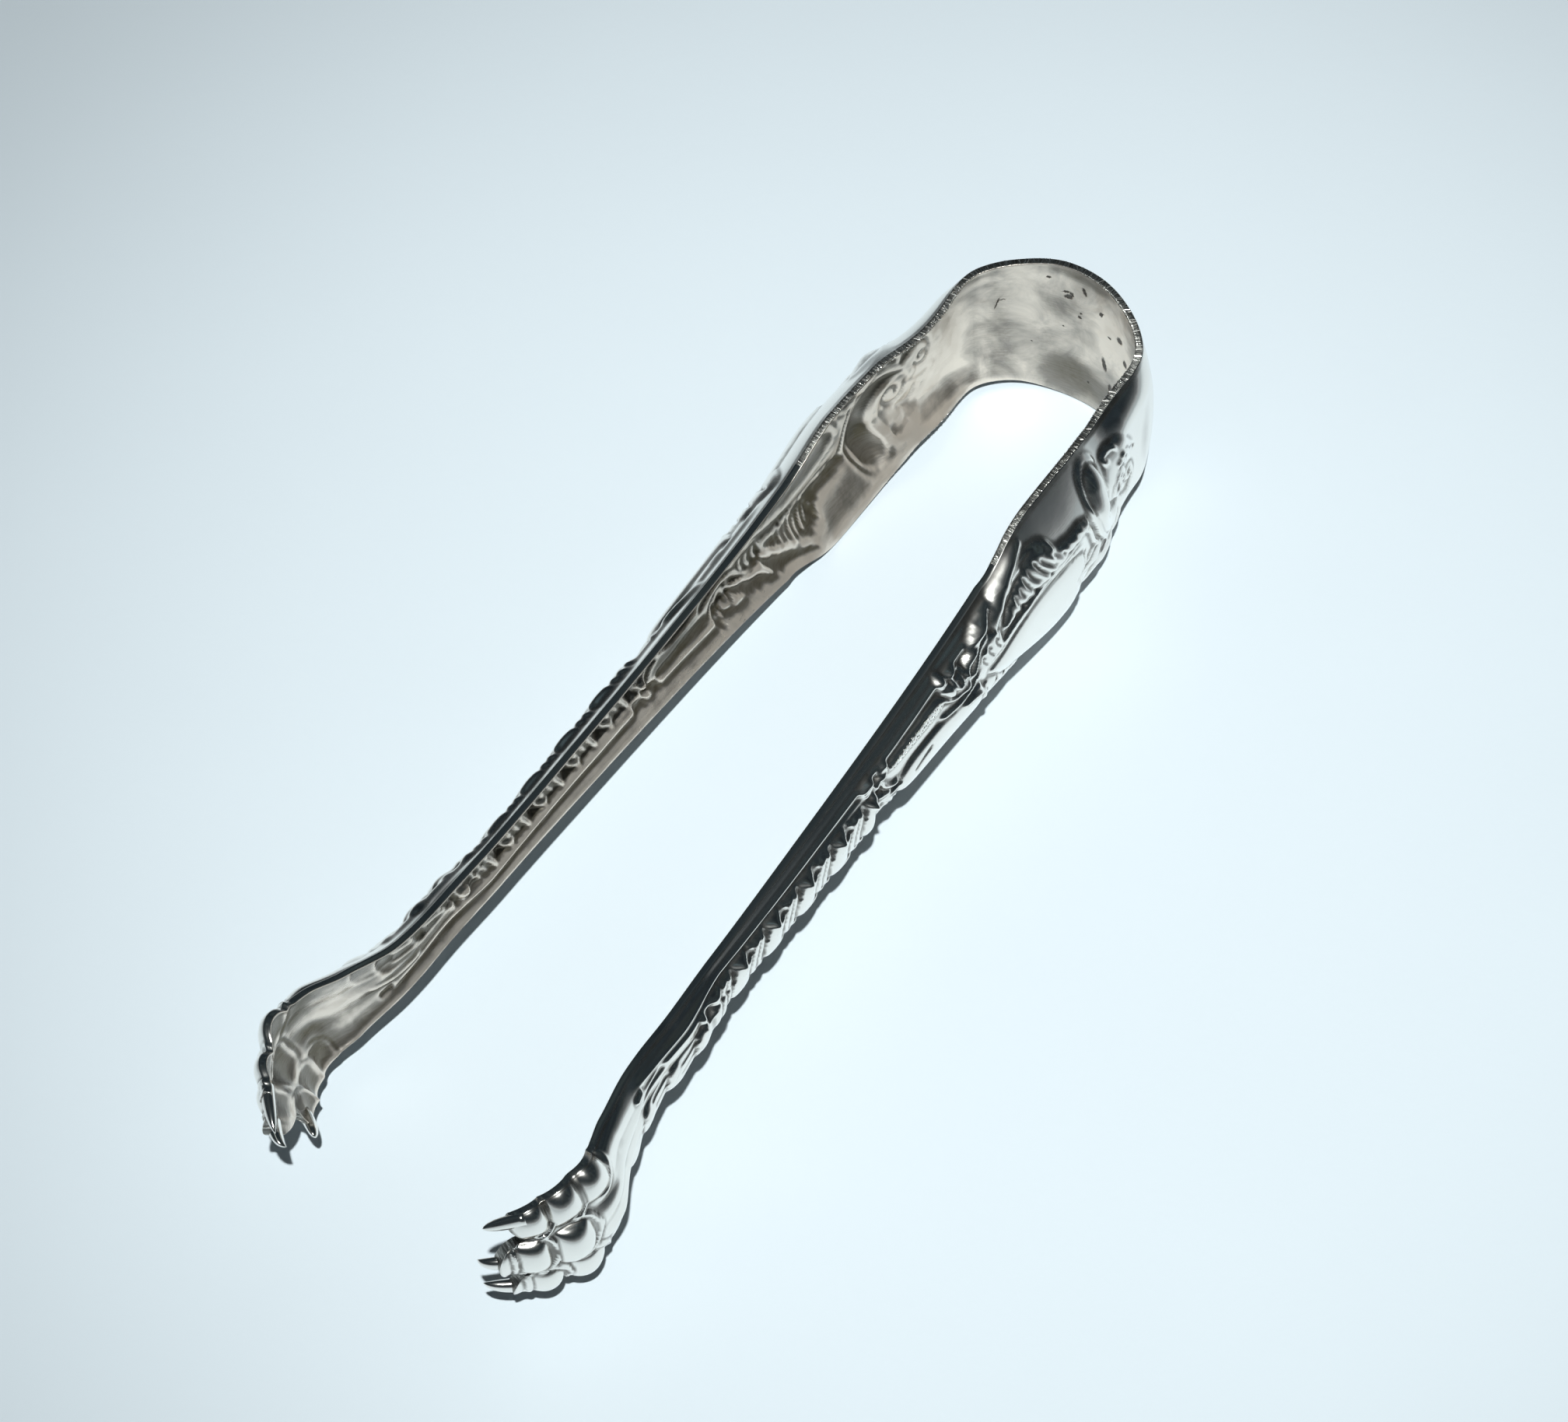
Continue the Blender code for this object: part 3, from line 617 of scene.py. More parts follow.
def with_ends(points, normals, *fields):
    """The rings with a slightly smaller ring added past each end, which faces along the strip."""
    rims = []
    for end, inner in ((0, 1), (-1, -2)):
        ahead = (points[end] - points[inner]).mean(0)
        ahead /= np.linalg.norm(ahead)
        rims.append((points[end] + END_ROUNDING * (ahead - normals[end]), ahead + 0 * normals[end]))
    first, last = rims
    points = np.concatenate([first[0][None], points, last[0][None]])
    normals = np.concatenate([first[1][None], normals, last[1][None]])
    return [points, normals] + [np.pad(field, ((1, 1), (0, 0)), mode="edge") for field in fields]


def ring_mesh(name, fields, face, side):
    """A closed mesh of rings with its own normals, and its die places, tarnish and painted highlights kept as
    attributes.
    """
    points, normals, s, v, deep = with_ends(*fields)
    rows, around = points.shape[:2]
    index = np.arange(rows * around).reshape(rows, around)
    quads = np.stack(
        [index[:-1], np.roll(index, -1, 1)[:-1], np.roll(index, -1, 1)[1:], index[1:]], -1
    ).reshape(-1, 4)
    faces = quads.tolist()
    kinds = np.tile(face, (rows - 1, 1))
    kinds[(s[1:] > FILED_TO) & (face == EDGE)] = OUTSIDE
    kinds = kinds.ravel()
    half_rim = RIM_POINTS // 2
    for ring, last in ((index[0], False), (index[-1], True)):
        front = np.concatenate([ring[-half_rim:], ring[: OUTER_POINTS + half_rim]]).tolist()
        back = ring[OUTER_POINTS + half_rim : -half_rim][::-1].tolist()
        faces += [tri if last else tri[::-1] for tri in zipped(front, back)]
    kinds = np.concatenate([kinds, np.full(len(faces) - len(kinds), EDGE)])
    mesh = bpy.data.meshes.new(name)
    where = turned(points.reshape(-1, 3), side) * MM
    mesh.from_pydata([tuple(p) for p in where], [], faces)
    mesh.shade_smooth()
    facing = normals.reshape(-1, 3) * ((1, 1, 1) if side > 0 else (-1, 1, -1))
    # The film holds tarnish in the hollows and, on the inside, the listed patches, whose amounts below 0 are
    # painted highlights
    marks = np.clip(tarnish(s, v, side) * (face == INSIDE) + deep, -1, 1)
    for key, values in (("along", s * side), ("across", v * side), ("film", marks)):
        attribute = mesh.attributes.new(key, "FLOAT", "POINT")
        attribute.data.foreach_set("value", values.astype(np.float32).ravel())
    return mesh, facing, kinds


# Patches on the back of the sheet, as (s, z, reach along, reach across, amount), where s is negative
# on the left half and z is the height over the middle. An amount above 0 darkens the place towards the
# colours of old tarnish, and an amount below 0 is a painted highlight, a place lightened to stand for light
TARNISH_AND_PAINTED_HIGHLIGHTS = (
    (-0.3, -5.4, 5.0, 3.4, 0.75), (-1.0, -4.0, 3.0, 2.2, 0.3), (5.5, -6.0, 5.0, 3.0, 0.5),
    (-14.0, -4.0, 5.0, 5.0, -1.0), (-10.2, 0.0, 3.4, 11.0, -0.9), (-18.0, -4.0, 6.0, 6.0, -0.8),
    (-13.0, 0.5, 4.5, 5.0, -1.0), (-4.7, 6.3, 5.0, 3.0, -0.7), (3.4, 3.0, 3.6, 6.0, -0.9),
    (2.4, 0.0, 2.0, 3.0, -0.4), (-2.0, 3.2, 2.6, 2.2, 0.22), (-8.0, -1.0, 4.0, 3.0, 0.15),
    (0.0, 7.6, 9.0, 1.0, 0.5), (-9.0, 7.0, 4.0, 1.8, 0.3), (-21.8, -3.3, 1.6, 2.0, 0.7),
    (-25.8, -4.2, 2.0, 1.2, 0.5), (-30.0, -4.8, 2.6, 1.4, 0.45), (-34.0, -2.8, 2.2, 1.2, 0.4),
    (-37.5, -2.6, 1.8, 1.2, 0.35), (-43.0, -3.0, 2.2, 1.6, 0.35), (-50.0, -1.6, 6.5, 1.4, 0.9),
    (-85.0, -0.8, 5.0, 1.3, 0.5), (-96.5, -2.4, 2.6, 2.4, 0.9), (-99.5, 1.0, 3.0, 2.5, 0.7),
    (-97.0, 2.6, 2.4, 1.6, 0.9), (-93.5, 0.5, 3.6, 3.0, -0.8), (60.0, 2.5, 9.0, 1.4, 0.4),
    (-30.0, 2.0, 14.0, 7.0, -0.35), (-60.0, 1.0, 24.0, 4.0, -0.3),
)


def tarnish(s, v, side):
    """How dark each place of the strip is made, from -1, a painted highlight, to 1, darkened with tarnish."""
    total = np.zeros(s.shape)
    for place_s, place_z, reach_s, reach_z, amount in TARNISH_AND_PAINTED_HIGHLIGHTS:
        near = np.hypot((s * side - place_s) / reach_s, (v * side - place_z) / reach_z)
        total = total + amount * (1 - smooth(near))
    return np.clip(total, -1, 1)


def sizes_of():
    return bpy.context.scene.tongs_sizes


def finishes_of():
    return bpy.context.scene.tongs_finishes


def stage_of():
    return bpy.context.scene.tongs_stage


def linear(hex_colour):
    """Linear colour of an sRGB hex value."""
    parts = [int(hex_colour[i : i + 2], 16) / 255 for i in (1, 3, 5)]
    return tuple(c / 12.92 if c <= 0.04045 else ((c + 0.055) / 1.055) ** 2.4 for c in parts) + (1.0,)


def add_node(tree, kind, inputs=None, **settings):
    """Adds a node. An input is a value, a socket to link, or a node whose first output is linked."""
    node = tree.nodes.new(kind)
    for key, value in settings.items():
        setattr(node, key, value)
    for key, value in (inputs or {}).items():
        source = value.outputs[0] if isinstance(value, bpy.types.Node) else value
        if isinstance(source, bpy.types.NodeSocket):
            tree.links.new(source, node.inputs[key])
        else:
            node.inputs[key].default_value = source
    return node


def ramp(add, source, stops):
    """A colour ramp through stops of (place, colour)."""
    node = add("ShaderNodeValToRGB", {"Fac": source})
    elements = node.color_ramp.elements
    while len(elements) > 1:
        elements.remove(elements[-1])
    elements[0].position, elements[0].color = stops[0]
    for place, colour in stops[1:]:
        elements.new(place).color = colour
    return node


def opaque(colour):
    return tuple(colour) + (1.0,)


def grey(x):
    return (x, x, x, 1.0)


def polished_silver(add):
    """Die-stamped sterling, hand polished: mirror bright, with fine wiping scratches about 0.05 mm apart,
    drawn coarser so that they show, and a thin grey film of tarnish left in the hollows."""
    colours = finishes_of()
    place = add("ShaderNodeTexCoord")
    deep = add("ShaderNodeAttribute", attribute_name="film")
    cloud = add("ShaderNodeTexNoise", {"Scale": 320.0, "Detail": 4.0, "Roughness": 0.6,
                                       "Vector": place.outputs["Object"]})
    patchy = add("ShaderNodeMapRange", {"From Min": 0.3, "From Max": 0.6, "To Min": 0.45, "To Max": 0.95,
                                        "Value": cloud.outputs["Fac"]})
    wide = add("ShaderNodeTexNoise", {"Scale": 60.0, "Detail": 2.0, "Vector": place.outputs["Object"]})
    film = add("ShaderNodeMath", {0: deep.outputs["Fac"], 1: patchy}, operation="MULTIPLY")
    tone = add("ShaderNodeMix", {"Factor": film, 6: opaque(colours.silver), 7: opaque(colours.tarnish)},
               data_type="RGBA")
    wipes = add("ShaderNodeMapping", {"Scale": (1.0, 0.08, 1.0), "Vector": place.outputs["Object"]})
    scratch = add("ShaderNodeTexNoise", {"Scale": 9000.0, "Detail": 3.0, "Vector": wipes})
    dents = add("ShaderNodeTexNoise", {"Scale": 900.0, "Detail": 2.0, "Vector": place.outputs["Object"]})
    rough = add("ShaderNodeMapRange", {"To Min": 0.09, "To Max": 0.2, "Value": wide.outputs["Fac"]})
    rougher = add("ShaderNodeMath", {1: 0.22, 0: film, 2: rough}, operation="MULTIPLY_ADD")
    bump = add("ShaderNodeBump", {"Strength": 0.06, "Distance": 0.00002, "Height": scratch.outputs["Fac"]})
    bump2 = add("ShaderNodeBump", {"Strength": 0.12, "Distance": 0.00005, "Height": dents.outputs["Fac"],
                                   "Normal": bump})
    return add("ShaderNodeBsdfPrincipled", {"Metallic": 1.0, "Base Color": tone.outputs[2],
                                            "Roughness": rougher, "Normal": bump2})


# Corrosion pits inside the bow, as (s, z, half length, half width, turn in degrees)
PITS = (
    (0.3, 6.1, 0.36, 0.12, 108), (-1.25, 4.65, 0.34, 0.2, 25), (-0.95, 5.1, 0.2, 0.13, 120),
    (-1.5, 5.15, 0.24, 0.1, 20), (-0.1, 2.6, 0.15, 0.13, 0), (0.0, 3.15, 0.09, 0.08, 0),
    (2.1, 4.5, 0.24, 0.14, 60), (4.4, 3.1, 0.3, 0.27, 90), (3.1, 2.3, 0.16, 0.11, 0),
    (2.6, -1.6, 0.62, 0.18, 103), (5.2, 0.8, 0.36, 0.17, 105), (3.4, -4.1, 0.42, 0.18, 95),
    (-3.1, 6.4, 0.17, 0.1, 20), (-1.7, 0.6, 0.07, 0.07, 0), (-7.4, 2.1, 0.6, 0.05, 75),
    (-7.1, 2.5, 0.3, 0.05, 20), (0.9, -5.2, 0.1, 0.1, 0), (-4.5, -2.4, 0.06, 0.06, 0),
)


def pit_mask(add, die):
    """1 inside the corrosion pits, 0 outside, from the die place."""
    rough = add("ShaderNodeTexNoise", {"Scale": 3.5, "Detail": 2.0, "Vector": die})
    shift = add("ShaderNodeVectorMath", {1: (0.3, 0.3, 0.0), 0: rough.outputs["Color"], 2: die},
                operation="MULTIPLY_ADD")
    mask = None
    for s, v, half_length, half_width, turn in PITS:
        place = add("ShaderNodeMapping", {"Location": (s + 0.15, v + 0.15, 0),
                                          "Rotation": (0, 0, math.radians(turn)),
                                          "Scale": (half_length, half_width, 1), "Vector": shift},
                    vector_type="TEXTURE")
        gap = add("ShaderNodeVectorMath", {0: place}, operation="LENGTH")
        depth = add("ShaderNodeMapRange", {"From Min": 1.55, "From Max": 0.85, "Value": gap.outputs["Value"]},
                    interpolation_type="SMOOTHSTEP")
        mask = add("ShaderNodeMath", {0: mask, 1: depth}, operation="MAXIMUM") if mask else depth
    return mask


def satin_silver(add):
    """The back of the sheet, smoothed with a rubbing stone and never polished: satin, with rubbing marks
    along the strip about 0.1 mm apart, clouds of warm grey tarnish and a few dark corrosion pits, and
    painted highlights where the film attribute falls below 0. Its thin film of oxide scatters light, so it's
    given as not quite all metal."""
    colours = finishes_of()
    s = add("ShaderNodeAttribute", attribute_name="along")
    v = add("ShaderNodeAttribute", attribute_name="across")
    tarnish_and_highlights = add("ShaderNodeAttribute", attribute_name="film")
    die = add("ShaderNodeCombineXYZ", {"X": s.outputs["Fac"], "Y": v.outputs["Fac"]})
    drawn = add("ShaderNodeMapping", {"Scale": (0.45, 3.6, 1.0), "Vector": die})
    marks = add("ShaderNodeTexNoise", {"Scale": 1.7, "Detail": 5.0, "Roughness": 0.6, "Vector": drawn})
    clouds = add("ShaderNodeTexNoise", {"Scale": 0.28, "Detail": 5.0, "Roughness": 0.62, "Distortion": 0.6,
                                        "Vector": die})
    cloudy = add("ShaderNodeMapRange", {"From Min": 0.28, "From Max": 0.58, "To Min": 0.5,
                                        "Value": clouds.outputs["Fac"]})
    streaks = add("ShaderNodeMapRange", {"From Min": 0.4, "From Max": 0.54, "To Min": 0.16, "To Max": 0.0,
                                         "Value": marks.outputs["Fac"]})
    film = add("ShaderNodeMath", {0: tarnish_and_highlights.outputs["Fac"], 1: cloudy, 2: streaks},
               operation="MULTIPLY_ADD", use_clamp=True)
    patchy = add("ShaderNodeMapRange", {"From Min": 0.34, "From Max": 0.66, "To Min": 0.0, "To Max": 0.75,
                                        "Value": clouds.outputs["Fac"]})
    # Painted highlights: where the film attribute is below 0 the satin is lightened
    light = add("ShaderNodeMath", {0: patchy, 1: tarnish_and_highlights.outputs["Fac"]}, operation="SUBTRACT", use_clamp=True)
    satin = add("ShaderNodeMix", {"Factor": light, 6: opaque(colours.dull), 7: opaque(colours.satin)},
                data_type="RGBA")
    tone = add("ShaderNodeMix", {"Factor": film, 6: satin.outputs[2], 7: opaque(colours.brown)},
               data_type="RGBA")
    pit = pit_mask(add, die)
    pitted = add("ShaderNodeMix", {"Factor": pit, 6: tone.outputs[2], 7: opaque(colours.tarnish)},
                 data_type="RGBA")
    rough = add("ShaderNodeMapRange", {"To Min": 0.2, "To Max": 0.36, "Value": marks.outputs["Fac"]})
    far = add("ShaderNodeMath", {0: s.outputs["Fac"]}, operation="ABSOLUTE")
    worn = add("ShaderNodeMapRange", {"From Min": 18.0, "From Max": 94.0, "To Min": 1.3, "To Max": 0.55,
                                      "Value": far})
    rubbed = add("ShaderNodeMath", {0: rough, 1: worn}, operation="MULTIPLY")
    rougher = add("ShaderNodeMath", {1: 0.15, 0: film, 2: rubbed}, operation="MULTIPLY_ADD")
    waves = add("ShaderNodeTexNoise", {"Scale": 0.5, "Detail": 1.0, "Vector": die})
    wavy = add("ShaderNodeBump", {"Strength": 1.0, "Distance": 0.00025, "Height": waves.outputs["Fac"]})
    bump = add("ShaderNodeBump", {"Strength": 0.3, "Distance": 0.00008, "Height": marks.outputs["Fac"],
                                  "Normal": wavy})
    sunk = add("ShaderNodeBump", {"Strength": 0.9, "Distance": 0.00012, "Height": pit, "Normal": bump},
               invert=True)
    return add("ShaderNodeBsdfPrincipled", {"Metallic": 0.72, "Specular IOR Level": 0.3,
                                            "Base Color": pitted.outputs[2], "Roughness": rougher,
                                            "Normal": sunk})


def filed_edge_painted_glints(add):
    """The cut edge of the sheet as the file left it: fine scores across the thickness, drawn about 0.1 mm
    apart, bumped and of uneven roughness; the grey and white flecks that they break the light into are
    painted into its colour as glints and dark reflections."""
    s = add("ShaderNodeAttribute", attribute_name="along")
    v = add("ShaderNodeAttribute", attribute_name="across")
    die = add("ShaderNodeCombineXYZ", {"X": s.outputs["Fac"], "Y": v.outputs["Fac"]})
    fine = add("ShaderNodeTexNoise", {"Scale": 5.0, "Detail": 4.0, "Roughness": 0.75, "Vector": die})
    # Painted glints and dark reflections: the edge's colour runs from dark grey to near white
    tone = ramp(add, fine.outputs["Fac"],
                [(0.35, linear("#4C4C4A")), (0.5, linear("#8F8E89")), (0.65, linear("#ECEAE3"))])
    rough = add("ShaderNodeMapRange", {"From Min": 0.35, "From Max": 0.65, "To Min": 0.45, "To Max": 0.2,
                                       "Value": fine.outputs["Fac"]})
    bump = add("ShaderNodeBump", {"Strength": 1.0, "Distance": 0.00012, "Height": fine.outputs["Fac"]})
    return add("ShaderNodeBsdfPrincipled", {"Metallic": 1.0, "Base Color": tone.outputs["Color"],
                                            "Roughness": rough, "Normal": bump})


def bright_edge(add):
    """Each stroke of the file, bright where it was cut last: plain silver with a little drag in it."""
    return add("ShaderNodeBsdfPrincipled", {"Metallic": 1.0, "Base Color": opaque(finishes_of().silver),
                                            "Roughness": 0.26})


def white_paper(add):
    """Plain uncoated paper: matt, faintly uneven in tone, with fibres that only just show."""
    place = add("ShaderNodeTexCoord").outputs["Object"]
    fibres = add("ShaderNodeTexNoise", {"Scale": 700.0, "Detail": 6.0, "Roughness": 0.7, "Vector": place})
    clouds = add("ShaderNodeTexNoise", {"Scale": 25.0, "Detail": 3.0, "Vector": place})
    white = stage_of().paper
    tone = add("ShaderNodeMix", {"Factor": clouds, 6: opaque(white), 7: opaque(0.96 * c for c in white)},
               data_type="RGBA")
    bump = add("ShaderNodeBump", {"Strength": 0.15, "Distance": 0.0001, "Height": fibres})
    return add("ShaderNodeBsdfPrincipled", {"Roughness": 0.9, "Specular IOR Level": 0.1,
                                            "Base Color": tone.outputs[2], "Normal": bump})


FINISHES = {
    "polished_sterling_silver": polished_silver, "satin_sterling_silver": satin_silver,
    "file_marked_edge_painted_glints": filed_edge_painted_glints, "freshly_filed_silver": bright_edge,
    "matt_white_paper": white_paper,
}


def finish(name):
    """The material of this name, made once."""
    material = bpy.data.materials.get(name)
    if material is None:
        material = bpy.data.materials.new(name)
        material.use_nodes = True
        material.node_tree.nodes.clear()
        add = partial(add_node, material.node_tree)
        add("ShaderNodeOutputMaterial", {"Surface": FINISHES[name](add)})
    return material


def finish_mesh(mesh, facing, kinds):
    """Gives a ring mesh its three finishes and its own normals."""
    for name in ("polished_sterling_silver", "file_marked_edge_painted_glints", "satin_sterling_silver"):
        mesh.materials.append(finish(name))
    mesh.polygons.foreach_set("material_index", kinds.astype(np.int32))
    mesh.update()
    mesh.normals_split_custom_set_from_vertices([tuple(n) for n in facing])


def link(name, mesh):
    obj = bpy.data.objects.new(name, mesh)
    bpy.context.scene.collection.objects.link(obj)
    return obj


def rows_between(stations):
    """Places along the strip whose spacing changes at each station of (s, spacing)."""
    rows = [stations[0][0]]
    for (start, step), (end, _) in zip(stations, stations[1:]):
        count = max(1, round((end - start) / step))
        rows += [start + (end - start) * (i + 1) / count for i in range(count)]
    return np.array(rows)


# Spacing of the rows from each place along the strip on
ROW_SPACINGS = ((-0.4, 0.4), (0.0, 0.4), (13.2, 0.13), (45.0, 0.18), (ANKLE, 0.13), (FOOT_END, 0.13))
SIDES = (("right", 1), ("left", -1))
STRIP = {}


def whole_half():
    """The rings of one half strip from just past the crown to the toes, made once."""
    if not STRIP:
        rows = rows_between(ROW_SPACINGS)
        points, s, v, face, deep = half_strip(rows)
        STRIP.update(rows=rows, points=points, s=s, v=v, face=face, deep=deep, normals=ring_normals(points))
    return STRIP


def part_of_half(name, start, end, side):
    strip = whole_half()
    kept = (strip["rows"] >= start - 1e-6) & (strip["rows"] <= end + 1e-6)
    fields = [strip[key][kept] for key in ("points", "normals", "s", "v", "deep")]
    return ring_mesh(name, fields, strip["face"], side)


def length(name, description, millimetres):
    return bpy.props.FloatProperty(
        name=name, description=description, default=millimetres * MM, unit="LENGTH",
    )


def colour(name, description, hex_colour):
    return bpy.props.FloatVectorProperty(
        name=name, description=description, default=linear(hex_colour)[:3], subtype="COLOR",
    )


class TongsSizes(bpy.types.PropertyGroup):
    """Sizes that a maker would change."""

    talon_root: length("Talon root", "Thickness of each talon where it leaves its toe", 1.25)
    bead: length("Stipple bead", "Width of the beads of the stippled band", 0.26)
    file_mark: length("File mark", "Spacing of the file marks on the edges", 0.16)
    file_bar: length("File bar", "Half width of each mark", 0.055)


class TongsFinishes(bpy.types.PropertyGroup):
    """Colours of the metal."""

    silver: colour("Silver", "Polished silver", "#F2EFE9")
    satin: colour("Satin silver", "The unpolished back of the sheet", "#E8DED2")
    dull: colour("Dull silver", "Duller clouds on the back of the sheet", "#928D87")
    tarnish: colour("Tarnish", "Dark film in the hollows", "#4A453F")
    brown: colour("Brown tarnish", "Older tarnish inside the arms", "#5F594A")


class TongsStage(bpy.types.PropertyGroup):
    """The table, the light and the camera."""

    paper: colour("Paper", "Sheet that the tongs lie on", "#E9F2F8")
    lamp: bpy.props.FloatProperty(name="Lamp", description="Power of the lamp", default=87.0, unit="POWER")
    beam: bpy.props.FloatProperty(
        name="Beam", description="How much more light its middle gives", default=1.05,
    )


class TONGS_OT_strip(bpy.types.Operator):
    """Add both halves of the stamped strip, from the crown of the bow to the ankles"""

    bl_idname = "tongs.strip"
    bl_label = "Bow and arms"

    def execute(self, context):
        for name, side in SIDES:
            mesh, facing, kinds = part_of_half(name + "_half_strip", 0.0, ANKLE, side)
            finish_mesh(mesh, facing, kinds)
            follow_strip(link(name + "_half_strip", mesh), name)
        return {"FINISHED"}


# How far behind the end of its toe a talon starts, how deep it sits, and the place on the die it's given
TALON_SEAT, TALON_DEPTH, TALON_PLACE = 1.3, 0.2, 104.0
TALON_TIPS = {
    "right": ((9.58, -100.02, 3.3), (9.47, -100.87, 0.0), (9.73, -100.77, -3.3)),
    "left": ((9.6, -99.47, 3.3), (9.55, -100.85, 0.0), (9.5, -101.65, -3.3)),
}


def talon_rings(root, middle, tip, radius):
    """Rings of a curved, pointed talon."""
    rings = []
    for t in np.linspace(0, 1, 15):
        centre = (1 - t) ** 2 * root + 2 * t * (1 - t) * middle + t * t * tip
        ahead = 2 * (1 - t) * (middle - root) + 2 * t * (tip - middle)
        ahead /= np.linalg.norm(ahead)
        up = np.array([0.0, 0.0, 1.0])
        out = np.cross(ahead, up)
        out /= np.linalg.norm(out)
        across = np.cross(out, ahead)
        size = radius * max(0.0, 1 - t ** 2.3) ** 0.9 + 0.02
        rings.append([centre + size * (0.85 * math.cos(a) * out + math.sin(a) * across)
                      for a in np.linspace(0, 2 * math.pi, 21)[:-1]])
    return np.array(rings)


def add_rings(bm, rings, layers):
    """Skins rings into a mesh and closes both ends."""
    rows = [[bm.verts.new(tuple(p)) for p in ring] for ring in rings]
    made = []
    for near, far in zip(rows, rows[1:]):
        for i in range(len(near)):
            j = (i + 1) % len(near)
            made.append(bm.faces.new((near[i], near[j], far[j], far[i])))
    for row in (rows[0], rows[-1]):
        made.append(bm.faces.new(row))
    for vert in [v for row in rows for v in row]:
        vert[layers[0]], vert[layers[1]], vert[layers[2]] = TALON_PLACE, 0.0, 0.0
    for f in made:
        f.smooth = True


def file_mark_nodes(add, given):
    """Bars of one size set across a line, evenly spaced but for a little wander."""
    curve = add("GeometryNodeMeshToCurve", {"Mesh": given.outputs["Geometry"]})
    even = add("GeometryNodeResampleCurve", {"Curve": curve, "Length": given.outputs["Spacing"]},
               mode="LENGTH")
    tangent = add("GeometryNodeInputTangent")
    wander = add("FunctionNodeRandomValue", {2: -0.08 * MM, 3: 0.08 * MM, "Seed": 3}, data_type="FLOAT")
    offset = add("ShaderNodeVectorMath", {0: tangent, "Scale": wander.outputs[1]}, operation="SCALE")
    moved = add("GeometryNodeSetPosition", {"Geometry": even, "Offset": offset})
    across = add("ShaderNodeVectorMath", {1: (0, 0, 1), 0: tangent}, operation="CROSS_PRODUCT")
    lean = add("FunctionNodeRandomValue", {2: -0.5, 3: 0.5, "Seed": 5}, data_type="FLOAT")
    leaning = add("ShaderNodeVectorRotate", {"Vector": across, "Angle": lean.outputs[1]},
                  rotation_type="Z_AXIS")
    aligned = add("FunctionNodeAlignRotationToVector", {"Vector": leaning}, axis="Z")
    roll = add("FunctionNodeRandomValue", {2: 0.0, 3: 0.8, "Seed": 17}, data_type="FLOAT")
    spin = add("FunctionNodeAxisAngleToRotation", {"Axis": (0, 0, 1), "Angle": roll.outputs[1]})
    rolled = add("FunctionNodeRotateRotation", {"Rotation": aligned, "Rotate By": spin},
                 rotation_space="LOCAL")
    girth = add("FunctionNodeRandomValue", {2: 0.3, 3: 1.1, "Seed": 7}, data_type="FLOAT")
    scale = add("ShaderNodeCombineXYZ", {"Z": 1.0, "X": girth.outputs[1], "Y": girth.outputs[1]})
    bar = add("GeometryNodeMeshCylinder", {"Vertices": 8, "Radius": given.outputs["Thickness"],
                                           "Depth": given.outputs["Length"]})
    bars = add("GeometryNodeInstanceOnPoints", {"Points": moved, "Instance": bar.outputs["Mesh"],
                                                "Rotation": rolled, "Scale": scale})
    real = add("GeometryNodeRealizeInstances", {"Geometry": bars})
    return add("GeometryNodeSetMaterial", {"Geometry": real, "Material": given.outputs["Finish"]})


def stipple_nodes(add, given):
    """Beads scattered evenly over a patch."""
    apart = add("ShaderNodeMath", {1: 0.85, 0: given.outputs["Bead"]}, operation="MULTIPLY")
    spread = add("GeometryNodeDistributePointsOnFaces", {"Density Max": 6.0e7, "Seed": 11,
                                                         "Mesh": given.outputs["Geometry"],
                                                         "Distance Min": apart}, distribute_method="POISSON")
    radius = add("ShaderNodeMath", {1: 0.5, 0: given.outputs["Bead"]}, operation="MULTIPLY")
    bead = add("GeometryNodeMeshIcoSphere", {"Subdivisions": 2, "Radius": radius})
    size = add("FunctionNodeRandomValue", {2: 0.6, 3: 1.1, "Seed": 13}, data_type="FLOAT")
    flat = add("ShaderNodeCombineXYZ", {"Z": 0.55, "X": size.outputs[1], "Y": size.outputs[1]})
    beads = add("GeometryNodeInstanceOnPoints", {"Points": spread.outputs["Points"],
                                                 "Instance": bead.outputs["Mesh"],
                                                 "Rotation": spread.outputs["Rotation"], "Scale": flat})
    real = add("GeometryNodeRealizeInstances", {"Geometry": beads})
    round_ = add("GeometryNodeSetShadeSmooth", {"Geometry": real})
    return add("GeometryNodeSetMaterial", {"Geometry": round_, "Material": given.outputs["Finish"]})


# Each geometry tree: the function that fills it, and its inputs besides the geometry
TREES = {
    "file_marks": (file_mark_nodes, {"Spacing": "Float", "Thickness": "Float", "Length": "Float",
                                     "Finish": "Material"}),
    "stipple": (stipple_nodes, {"Bead": "Float", "Finish": "Material"}),
}


def geometry_tree(name):
    """The geometry tree of this name, made once."""
    tree = bpy.data.node_groups.get(name)
    if tree is None:
        fill, sockets = TREES[name]
        tree = bpy.data.node_groups.new(name, "GeometryNodeTree")
        tree.interface.new_socket("Geometry", in_out="OUTPUT", socket_type="NodeSocketGeometry")
        for key, kind in (("Geometry", "Geometry"), *sockets.items()):
            tree.interface.new_socket(key, in_out="INPUT", socket_type="NodeSocket" + kind)
        add = partial(add_node, tree)
        add("NodeGroupOutput", {"Geometry": fill(add, add("NodeGroupInput"))})
    return tree


